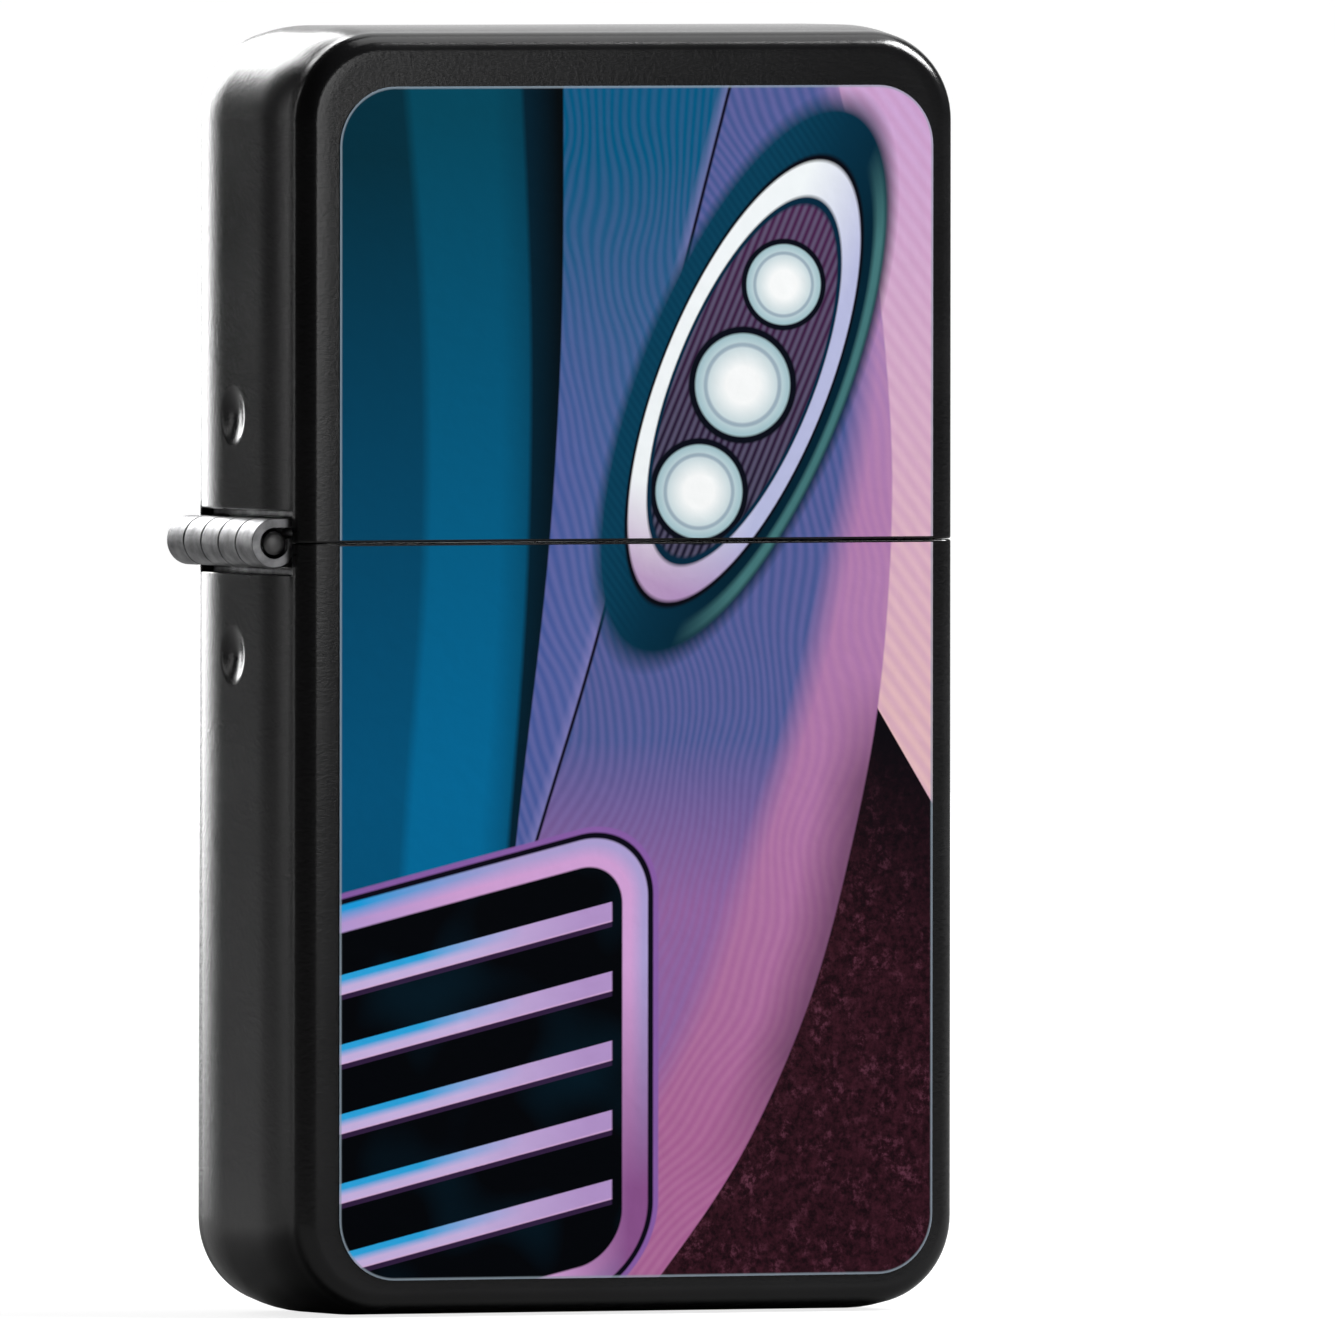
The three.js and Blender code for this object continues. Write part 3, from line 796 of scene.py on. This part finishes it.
def smooth_path(points, steps):
    """A smooth line through the points. Between b and c of four neighbours a, b, c, d it is
    half of 2b + (c - a)t + (2a - 5b + 4c - d)t^2 + (3b - a - 3c + d)t^3."""
    line_points = np.array(points, float)
    first = 2 * line_points[:1] - line_points[1:2]
    last = 2 * line_points[-1:] - line_points[-2:-1]
    p = np.concatenate([first, line_points, last])
    a, b, c, d = (p[k:len(p) - 3 + k, None] for k in range(4))
    t = np.linspace(0, 1, steps, endpoint=False)[None, :, None]
    run = 2 * b + (c - a) * t + (2 * a - 5 * b + 4 * c - d) * t**2
    run = (run + (3 * b - a - 3 * c + d) * t**3) / 2
    return np.concatenate([run.reshape(-1, p.shape[1]), line_points[-1:]])


def arc(centre, radius, start, end, steps=12):
    """Points of an arc in two dimensions, from start to end in degrees."""
    turn = np.radians(np.linspace(start, end, steps + 1))
    return np.array(centre) + radius * np.stack([np.cos(turn), np.sin(turn)], axis=1)


def even_line(points, step):
    """The same line with extra points, none more than step apart."""
    points = np.array(points, float)
    reach = np.concatenate([[0], np.cumsum(np.linalg.norm(np.diff(points, axis=0), axis=1))])
    stops = np.unique(np.round(np.concatenate([reach, np.arange(0, reach[-1], step)]), 3))
    return np.stack([np.interp(stops, reach, column) for column in points.T], axis=-1)


def plate_part(outline, hole, radius, y0, y1):
    """A flat plate from y0 to y1. Each point of its (x, z) outline is joined along a ray to
    the rim of its round hole."""
    outline = even_line(np.concatenate([outline, outline[:1]]), 0.25)[:-1]
    ray = outline - np.array(hole)
    rim = np.array(hole) + radius * unit(ray)
    rows = [np.stack([loop[:, 0], np.full(len(loop), y), loop[:, 1]], axis=-1)
            for loop, y in ((outline, y0), (outline, y1), (rim, y1), (rim, y0))]
    return sheet_part(np.stack(rows), wrap_rows=True, wrap_columns=True)


def cad_part(node):
    """The merged shape of a CAD node as (points, faces), with flat areas joined up."""
    edit = bmesh.new()
    edit.from_mesh(bpy.data.objects[node].data)
    bmesh.ops.remove_doubles(edit, verts=edit.verts, dist=SAME_POINT)
    bmesh.ops.dissolve_limit(
        edit, angle_limit=math.radians(0.5), verts=edit.verts, edges=edit.edges,
    )
    edit.verts.index_update()
    points = np.array([vertex.co[:] for vertex in edit.verts]) / MM
    faces = [[vertex.index for vertex in face.verts] for face in edit.faces]
    edit.free()
    return points, faces


# ---------------------------------------------------------------- insert: sheet metal


def tank(finish):
    """The fuel tank, a drawn box with a pressed deck."""
    piece = make_piece("tank", [cad_part("insert_tank")], finish, "insert", ["insert_tank"],
                       angle=35)
    soften(piece, 0.06, angle=60)
    return piece


def chimney_outline():
    """The way round the windscreen's wall seen from above, with points where the air holes'
    cells and the wheel's opening need them."""
    flat = np.unique(np.round(np.concatenate([
        np.linspace(x - AIR_CELL, x + AIR_CELL, 9) for x in AIR_HOLES_X
    ]), 4))
    split = math.degrees(math.asin((WHEEL_GAP_Y - CHIMNEY_Y + CHIMNEY_R) / CHIMNEY_R))
    turn = np.radians(np.concatenate([np.linspace(0, split, 4), np.linspace(split, 90, 5)[1:]]))
    bend = CHIMNEY_R * np.stack([np.cos(turn), np.sin(turn)], axis=1)
    straight = CHIMNEY_Y - CHIMNEY_R
    right, left = CHIMNEY_RIGHT - CHIMNEY_R, CHIMNEY_LEFT + CHIMNEY_R
    sides = [
        np.stack([flat, np.full(flat.size, -CHIMNEY_Y)], axis=1),
        ([right, -straight] + bend * [1, -1])[::-1],
        [right, straight] + bend,
        np.stack([flat[::-1], np.full(flat.size, CHIMNEY_Y)], axis=1),
        ([left, straight] + bend * [-1, 1])[::-1],
        [left, -straight] + bend * [-1, -1],
    ]
    points = np.concatenate(sides)
    step = np.linalg.norm(points - np.roll(points, 1, axis=0), axis=1)
    return points[step > 1e-4]


def air_hole(x, y, z):
    """A square patch round an air hole: rings that grow from the circle to the square."""
    side = np.linspace(-AIR_CELL, AIR_CELL, 9)[:-1]
    edge = np.full(side.size, AIR_CELL)
    square = np.concatenate([
        np.stack(pair, axis=1)
        for pair in ((side, -edge), (edge, side), (-side, edge), (-edge, -side))
    ])
    circle = AIR_HOLE_R * unit(square)
    part = np.array([0, 0.3, 1])[:, None, None]
    ring = circle * (1 - part) + square * part
    points = np.stack([x + ring[..., 0], np.full(ring.shape[:2], y), z + ring[..., 1]], axis=-1)
    return sheet_part(points, wrap_columns=True)


def chimney_wall(finish):
    """The windscreen's wall: the way round it by the height, with air holes through both long
    sides and an opening at the right end for the wheel."""
    outline = chimney_outline()
    heights = np.unique(np.round(np.concatenate(
        [np.linspace(z - AIR_CELL, z + AIR_CELL, 9) for z in AIR_HOLES_Z]
        + [[CHIMNEY_LOW[2], 36.3, WHEEL_GAP_LOW, WHEEL_GAP_HIGH, CHIMNEY_HIGH[2] - SHEET,
            CHIMNEY_HIGH[2]]]
    ), 4))
    points = np.stack(np.broadcast_arrays(*outline.T, heights[:, None]), axis=-1)
    middle = (points[:-1] + np.roll(points, -1, axis=1)[1:]) / 2
    x, y, z = middle[..., 0], middle[..., 1], middle[..., 2]
    near_x = np.min([np.abs(x - hole) for hole in AIR_HOLES_X], axis=0) < AIR_CELL
    near_z = np.min([np.abs(z - hole) for hole in AIR_HOLES_Z], axis=0) < AIR_CELL
    gone = near_x & near_z & (np.abs(y) > CHIMNEY_Y - 0.01)
    gone |= (x > 4) & (np.abs(y) < WHEEL_GAP_Y) & (z > WHEEL_GAP_LOW) & (z < WHEEL_GAP_HIGH)
    parts = [sheet_part(points, keep=~gone, wrap_columns=True)]
    parts += [air_hole(x, y, z) for x in AIR_HOLES_X for y in (-CHIMNEY_Y, CHIMNEY_Y)
              for z in AIR_HOLES_Z]
    piece = make_piece("windscreen", parts, finish, "insert", ["chimney"])
    thicken(piece, SHEET)
    soften(piece, 0.07, angle=60)
    return piece


def chimney_ears(finish):
    """The windscreen's flat ears: a tall one each side for the wheel, a low one for the cam."""
    foot = CHIMNEY_LOW[2]
    wheel, cam = WHEEL_AT[[0, 2]], CAM_AT[[0, 2]]
    wheel_ear = np.concatenate([
        [[3.4, foot], [10.2, foot]], arc(wheel, 2.4, 0, 120, 20),
        arc((5.6, 45.8), 0.6, 60, 90, 3), [[3.4, 46.4]],
    ])
    cam_ear = np.concatenate([
        [[-5.4, foot], [-5.4, 41.4], [-7.6, 40.9]], arc(cam, 1.6, 60, 180, 14), [[-11.7, foot]],
    ])
    parts = []
    for low, high in ((-CHIMNEY_Y, SHEET - CHIMNEY_Y), (CHIMNEY_Y - SHEET, CHIMNEY_Y)):
        parts.append(plate_part(wheel_ear, wheel, 0.8, low, high))
        parts.append(plate_part(cam_ear, cam, 0.55, low, high))
    piece = make_piece("windscreen_ears", parts, finish, "insert", ["chimney"])
    soften(piece, 0.025, angle=60)
    return piece


def cam(finish):
    """The lid's cam, folded from sheet: a cheek each side and a skin over the back."""
    middle = CAM_AT[[0, 2]]
    back = smooth_path([(-14.45, 35.95), (-13.0, 37.4), (-11.8, 38.6), (-10.5, 39.1),
                        (-9.3, 38.6), (-8.85, 37.6), (-9.05, 36.75)], 8)
    belly = smooth_path([(-9.9, 36.7), (-11.6, 36.5), (-13.2, 36.2), (-14.45, 35.6)], 6)
    outline = np.concatenate([back, belly])[::-1]
    width = box_mm("cam_lever")[1][1]
    parts = [plate_part(outline, middle, 0.6, low, high)
             for low, high in ((-width, CAM_SHEET - width), (width - CAM_SHEET, width))]
    along = unit(np.gradient(back, axis=0))
    path = np.stack([back[:, 0], 0 * back[:, 0], back[:, 1]], axis=-1)
    inwards = np.stack([along[:, 1], 0 * along[:, 0], -along[:, 0]], axis=-1)
    half = width - 0.3
    skin = np.array([(-half, 0), (-half, SHEET), (half, SHEET), (half, 0)])
    parts.append(bar_part(path, [0.0, 1.0, 0.0], inwards, skin))
    piece = make_piece("cam", parts, finish, "cam", ["cam_lever"], angle=50)
    soften(piece, 0.07, angle=60)
    return piece


def cam_leaf_spring(finish):
    """A thin leaf under the cam, riveted to the deck at its right end."""
    path = smooth_path([(-3.6, 34.42), (-5.8, 34.42), (-7.9, 34.45), (-8.9, 35.0),
                        (-9.6, 36.05)], 10)
    along = unit(np.gradient(path, axis=0))
    up = np.stack([-along[:, 1], 0 * along[:, 0], along[:, 0]], axis=-1)
    line_points = np.stack([path[:, 0], 0 * path[:, 0], path[:, 1]], axis=-1)
    section = np.array([(-1.1, -0.11), (1.1, -0.11), (1.1, 0.11), (-1.1, 0.11)])
    part = bar_part(line_points, [0.0, 1.0, 0.0], up, section)
    piece = make_piece("cam_leaf_spring", [part], finish, "insert", ["cam_spring"])
    soften(piece, 0.04, angle=60)
    return piece


def rivet(name, node, at, shank, head, finish):
    """A rivet across the windscreen with a low dome each side."""
    dome = np.linspace(0, math.pi / 2, 8)
    cap = np.stack([head * np.sin(dome), RIVET_FOOT + 0.18 + RIVET_DOME * np.cos(dome)], axis=1)
    half = np.concatenate([cap, [[head, RIVET_FOOT + 0.02], [shank, RIVET_FOOT]]])
    profile = np.concatenate([half, (half * [1, -1])[::-1]])
    part = turned_part(profile, at, "y", 40)
    return make_piece(name, [part], finish, "insert", [node])


def spring_rivet(finish):
    """The small rivet that holds the leaf spring under the deck."""
    low, high = box_mm("cam_spring_rivet")
    centre = [(low[0] + high[0]) / 2, 0, 0]
    profile = [(0, high[2]), (0.5, high[2] - 0.02), (0.82, high[2] - 0.12), (0.9, 35.16),
               (0.88, 35.13), (0.5, 35.13), (0.5, 34.28), (0.88, 34.28), (0.9, 34.24),
               (0.82, 33.97), (0.5, 33.87), (0, low[2])]
    part = turned_part(profile, centre, "z", 36)
    return make_piece("leaf_rivet", [part], finish, "insert", ["cam_spring_rivet"])


# ---------------------------------------------------------------- insert: wheel and flint feed

TEETH = 26
TOOTH = 0.28
TEETH_LEAN = 0.55
GROOVE_AT, GROOVE_HALF, GROOVE_DEPTH = 1.3, 0.14, 0.45
FEED_TURNS = 24
FEED_R = 0.82
WIRE_R = 0.16


def spark_wheel(finish):
    """A hardened wheel cut with slanting teeth. Round the rim the radius falls by TOOTH times
    the part of a tooth that has passed, the teeth lean with the distance from the middle, and
    two turned grooves part them in three bands."""
    low, high = box_mm("flint_wheel")
    radius, half = (high[2] - low[2]) / 2, (high[1] - low[1]) / 2
    y = np.linspace(-half + 0.16, half - 0.16, 45)[:, None]
    angle = np.linspace(0, 2 * math.pi, TEETH * 12, endpoint=False)[None, :]
    passed = (angle * TEETH / (2 * math.pi) + np.abs(y) * TEETH_LEAN) % 1.0
    rim = radius - TOOTH * np.clip(passed * 1.25, 0, 1)
    groove = np.abs(np.abs(y) - GROOVE_AT) < GROOVE_HALF
    rim = np.where(groove, radius - GROOVE_DEPTH, rim)
    profile = np.array([(0.88, -half + 0.1), (0.98, -half), (radius - 0.55, -half),
                        (radius - 0.42, -half + 0.06)])
    end_r = np.broadcast_to(profile[:, :1], (4, angle.size))
    end_y = np.broadcast_to(profile[:, 1:], (4, angle.size))
    r = np.concatenate([end_r, rim, end_r[::-1]])
    y = np.concatenate([end_y, np.broadcast_to(y, rim.shape), -end_y[::-1]])
    points = np.stack([r * np.cos(angle), y, r * np.sin(angle)], axis=-1) + WHEEL_AT
    part = sheet_part(points, wrap_rows=True, wrap_columns=True)
    return make_piece("spark_wheel", [part], finish, "wheel", ["flint_wheel"],
                      angle=32)


def turned_piece(name, node, profile, finish, body="insert", steps=40):
    """A round piece about the flint feed's upright axis."""
    centre = [WHEEL_AT[0], 0, 0]
    part = turned_part(profile, centre, "z", steps)
    return make_piece(name, [part], finish, body, [node])


def flint_feed(brass, steel, grey):
    """The tube with its collar, the flint, the spring and its tip, and the screw below."""
    low, high = box_mm("flint_tube")
    foot, top = low[2], high[2]
    turned_piece("flint_tube_round", "flint_tube", [
        (1.25, foot + 0.1), (1.25, top - 0.12), (1.36, top), (1.68, top), (1.8, top - 0.12),
        (1.8, DECK + 0.5), (2.2, DECK + 0.5), (2.3, DECK + 0.4), (2.3, DECK + 0.04),
        (1.8, DECK + 0.04), (1.8, foot + 0.12), (1.7, foot), (1.35, foot), (1.25, foot + 0.1),
    ], brass, steps=56)
    low, high = box_mm("flint")
    turned_piece("flint_stone", "flint", [
        (0, high[2] - 0.06), (0.6, high[2] - 0.03), (0.98, high[2]), (1.08, high[2] - 0.08),
        (1.1, high[2] - 0.2), (1.1, low[2] + 0.14), (0.98, low[2]), (0, low[2]),
    ], grey)
    low, high = box_mm("spring_tip")
    turned_piece("spring_plug", "spring_tip", [
        (0, high[2]), (0.9, high[2]), (1.08, high[2] - 0.15), (1.1, high[2] - 0.5),
        (1.0, high[2] - 0.58), (0.62, high[2] - 0.62), (0.58, low[2] + 0.06), (0.52, low[2]),
        (0, low[2]),
    ], brass)
    low, high = box_mm("flint_spring")
    turn = np.linspace(0, 2 * math.pi * FEED_TURNS, FEED_TURNS * 18)
    rise = np.linspace(low[2] + 0.17, high[2] - 0.17, turn.size)
    path = np.stack([WHEEL_AT[0] + FEED_R * np.cos(turn), FEED_R * np.sin(turn), rise], axis=-1)
    make_piece("feed_spring", [coil_part(path, turn)], steel, "insert", ["flint_spring"])
    screw = make_piece("feed_screw", [cad_part("flint_screw")], brass, "screw", ["flint_screw"],
                       angle=35)
    soften(screw, 0.08, angle=60)


def coil_part(path, turn):
    """A round wire of radius WIRE_R wound about an upright axis: its section stands on the
    outward direction and on the direction square to that and to the wire."""
    outwards = np.stack([np.cos(turn), np.sin(turn), 0 * turn], axis=-1)
    up = unit(np.cross(outwards, np.gradient(path, axis=0)))
    angle = np.linspace(0, 2 * math.pi, 9, endpoint=False)
    section = WIRE_R * np.stack([np.cos(angle), np.sin(angle)], axis=1)
    return bar_part(path, outwards, up, section)


# ---------------------------------------------------------------- insert: wick and wadding

WICK_R = 1.3
WICK_X = -1.0
WICK_SIDES = 64
STRANDS = 8
WEAVE_PITCH = 3.1


def braided_wick(finish):
    """A round braid along the wick's winding path. The radius rises and falls by the greater
    of two crossing screws, sin(8 angle + k s) and sin(8 angle - k s), s being the way along."""
    low, high = box_mm("wick")
    path = smooth_path([
        (WICK_X, 0, high[2]), (WICK_X, 0, 38.6), (WICK_X, 0, 33.6), (WICK_X - 1.6, 0.5, 27.4),
        (WICK_X + 1.2, -0.6, 20.8), (WICK_X - 1.8, 0.5, 14.0), (WICK_X, 0, low[2]),
    ], 40)
    along = unit(np.gradient(path, axis=0))
    across = unit(np.cross(along, [0.0, 1.0, 0.0]))
    up = np.cross(across, along)
    reach = np.concatenate([[0], np.cumsum(np.linalg.norm(np.diff(path, axis=0), axis=1))])
    angle = np.linspace(0, 2 * math.pi, WICK_SIDES, endpoint=False)[None, :]
    s = reach[:, None] * WEAVE_PITCH
    weave = np.maximum(np.sin(STRANDS / 2 * angle + s), np.sin(STRANDS / 2 * angle - s))
    ends = np.clip(np.minimum(reach, reach[-1] - reach) / 0.35, 0, 1)[:, None]
    radius = (WICK_R - 0.13 + 0.12 * weave) * np.sqrt(1 - (1 - ends) ** 2 * 0.5)
    points = (path[:, None] + (radius * np.cos(angle))[..., None] * across[:, None]
              + (radius * np.sin(angle))[..., None] * up[:, None])
    shell, faces = sheet_part(points, wrap_columns=True)
    count = len(shell)
    last = count - WICK_SIDES
    caps = []
    for k in range(WICK_SIDES):
        after = (k + 1) % WICK_SIDES
        caps += [[count, after, k], [count + 1, last + k, last + after]]
    shell = np.concatenate([shell, path[:1], path[-1:]])
    return make_piece("braided_wick", [(shell, faces + caps)], finish, "insert", ["wick"],
                      angle=70)


def wadding(name, node, finish, cell, lumps):
    """A pad of loose fibre in the space its CAD solid holds: even cells, then every point is
    moved along its normal by sums of sines of its place, lumps at most."""
    piece = make_piece(name, [cad_part(node)], finish, "insert", [node])
    even = piece.modifiers.new("even_cells", "REMESH")
    even.mode = "VOXEL"
    even.voxel_size = cell * MM
    graph = bpy.context.evaluated_depsgraph_get()
    mesh = bpy.data.meshes.new_from_object(piece.evaluated_get(graph))
    piece.modifiers.clear()
    piece.data = mesh
    count = len(mesh.vertices)
    place, normal = np.empty(3 * count), np.empty(3 * count)
    mesh.vertices.foreach_get("co", place)
    mesh.vertex_normals.foreach_get("vector", normal)
    place, normal = place.reshape(-1, 3) / MM, normal.reshape(-1, 3)
    x, y, z = place.T
    wave = (np.sin(1.9 * x + 1.3 * np.sin(1.1 * z)) * np.sin(2.3 * z + 0.7 * x)
            + 0.6 * np.sin(4.1 * x - 2.9 * z + 2.2 * y) + 0.4 * np.sin(6.3 * y + 5.1 * x))
    place = place + normal * (lumps * (wave / 2 - 1))[:, None]
    mesh.vertices.foreach_set("co", (place * MM).reshape(-1))
    mesh.shade_smooth()
    mesh.update()
    if not mesh.materials:
        mesh.materials.append(finish)
    return piece


# ---------------------------------------------------------------- the parts


def build_case(dark):
    paint = satin_black_paint()
    rolled = hinge_steel()
    picture = picture_print()
    case_half("body_case", "bottom_shell", CASE_RIM, -1, CASE_RIM, DIMPLE_DROP, paint)
    case_half("lid_case", "lid_shell", LID_RIM, 1, TOP - LID_RIM, DIMPLE_RISE, paint)
    hinge_leaf("body_leaf", "hinge_body_leaf", -1, (1, 3), rolled)
    hinge_leaf("lid_leaf", "hinge_lid_leaf", 1, (0, 2, 4), rolled)
    hinge_pin(dark)
    film("body_picture", "body_print", "case", picture)
    film("lid_picture", "lid_print", "lid", picture)


def build_insert(dark):
    steel = brushed_steel()
    brass = turned_brass()
    tank(steel)
    chimney_wall(steel)
    chimney_ears(steel)
    cam(steel)
    cam_leaf_spring(steel)
    rivet("wheel_rivet", "wheel_axle", WHEEL_AT, 0.75, 1.25, steel)
    rivet("cam_rivet_round", "cam_rivet", CAM_AT, 0.5, 1.0, steel)
    spring_rivet(steel)
    spark_wheel(dark)
    flint_feed(brass, steel, flint_stone())
    braided_wick(fibre("wick_cotton", (226, 214, 186), (150, 132, 100), 6.0, 0.05, 0.2))
    fleece = fibre("cotton_wool", (246, 243, 235), (212, 206, 192), 3.0, 0.12, 0.4)
    for k in range(1, 5):
        wadding(f"cotton_wad_{k}", f"cotton_pad_{k}", fleece, 0.4, 0.12)
    felt = fibre("pressed_felt", (222, 214, 196), (178, 168, 146), 5.0, 0.08, 0.3)
    wadding("felt_base_pad", "felt_pad", felt, 0.3, 0.05)


# ---------------------------------------------------------------- camera, light and floor

VIEW_AZIMUTH = math.radians(-24.4)
VIEW_ELEVATION = math.radians(1.2)
VIEW_ROLL = math.radians(0.05)
VIEW_DISTANCE = 2.4
VIEW_WIDTH = 0.0592
AIM_RIGHT = 0.00411
FILM_WIDTH = 36.0
FLOOR_Z = -0.02

BACK = Vector((math.sin(VIEW_AZIMUTH) * math.cos(VIEW_ELEVATION),
               -math.cos(VIEW_AZIMUTH) * math.cos(VIEW_ELEVATION), math.sin(VIEW_ELEVATION)))
CENTRE = Vector((0, 0, TOP * MM / 2))


def aim_from(place, target):
    """Turns an object's -Z from place to target, upright."""
    return (target - place).to_track_quat("-Z", "Y").to_matrix().to_4x4()


def place_camera():
    data = bpy.data.cameras.new("camera")
    data.sensor_width = FILM_WIDTH
    data.lens = FILM_WIDTH * VIEW_DISTANCE / VIEW_WIDTH
    data.clip_start, data.clip_end = 0.05, 50.0
    camera = bpy.data.objects.new("camera", data)
    bpy.context.scene.collection.objects.link(camera)
    turn = aim_from(BACK, Vector((0, 0, 0)))
    place = CENTRE + turn.col[0].to_3d() * AIM_RIGHT + BACK * VIEW_DISTANCE
    camera.matrix_world = Matrix.Translation(place) @ turn @ Matrix.Rotation(VIEW_ROLL, 4, "Z")
    bpy.context.scene.camera = camera


def soft_light(name, azimuth, elevation, distance, width, height, watts):
    """An area light that faces the lighter. azimuth 0 is in front of the picture and 90 to
    its right; elevation is up from level, in degrees."""
    data = bpy.data.lights.new(name, "AREA")
    data.shape = "RECTANGLE"
    data.size, data.size_y = width, height
    data.energy = watts
    light = bpy.data.objects.new(name, data)
    bpy.context.scene.collection.objects.link(light)
    a, e = math.radians(azimuth), math.radians(elevation)
    way = Vector((math.sin(a) * math.cos(e), -math.cos(a) * math.cos(e), math.sin(e)))
    light.matrix_world = Matrix.Translation(CENTRE + way * distance) @ aim_from(way, Vector())
    light.visible_camera = False


def light_scene():
    """A white surround that the camera sees but that hardly lights the metal. Two cards
    behind draw the pale back edge and the top. A soft box on the right lights the picture,
    with a dim one overhead, a small near card for the front's upper part, and a thin strip
    at the left."""
    world = bpy.data.worlds.new("white_surround")
    bpy.context.scene.world = world
    world.use_nodes = True
    nodes, links = world.node_tree.nodes, world.node_tree.links
    path = nodes.new("ShaderNodeLightPath")
    level = nodes.new("ShaderNodeMapRange")
    level.inputs["To Min"].default_value = 0.03
    level.inputs["To Max"].default_value = 1.0
    links.new(path.outputs["Is Camera Ray"], level.inputs["Value"])
    background = nodes["Background"]
    background.inputs["Color"].default_value = (1, 1, 1, 1)
    links.new(level.outputs["Result"], background.inputs["Strength"])

    soft_light("back_card", 180, 16.7, 0.9, 0.45, 0.6, 6.5)
    soft_light("pale_card", 148, 22, 0.9, 0.5, 1.3, 1.8)
    soft_light("key_box", 70, 40, 0.7, 0.36, 0.36, 13.0)
    soft_light("over_box", 95, 68, 0.7, 0.5, 0.5, 1.5)
    soft_light("near_card", 10, 8, 0.26, 0.08, 0.07, 0.052)
    soft_light("left_strip", -136, 5, 0.7, 0.04, 0.6, 0.2)
    bpy.context.scene.view_settings.view_transform = "Standard"


def lay_floor():
    """A pale floor, a large flat disc that grows paler away from the lighter."""
    finish = Finish("pale_floor", Roughness=0.9)
    here = finish.here()
    x, y, _ = finish.parts(here)
    tone = finish.noise(here, 0.02, detail=2)
    finish.set("Base Color", finish.mix(tone, (104, 104, 104), (108, 108, 108)))
    camera_only = finish.node("LightPath", out="Is Camera Ray")
    finish.shader.inputs["Emission Color"].default_value = (1, 1, 1, 1)
    away = (x * x + y * y).root().fade(30, 160)
    finish.put(finish.shader.inputs["Emission Strength"], camera_only * (0.8 + 0.2 * away))
    radius = np.concatenate([np.linspace(0.0, 300, 16), np.geomspace(400, 40000, 12)])[:, None]
    angle = np.linspace(0, 2 * math.pi, 64, endpoint=False)
    disc = (radius * np.cos(angle), radius * np.sin(angle), FLOOR_Z)
    points, faces = sheet_part(np.stack(np.broadcast_arrays(*disc), axis=-1), wrap_columns=True)
    floor = merged_object("floor", points, faces, finish.material)


place_camera()
lay_floor()
light_scene()
hard_steel = dark_steel()
build_case(hard_steel)
build_insert(hard_steel)

bpy.context.view_layer.update()
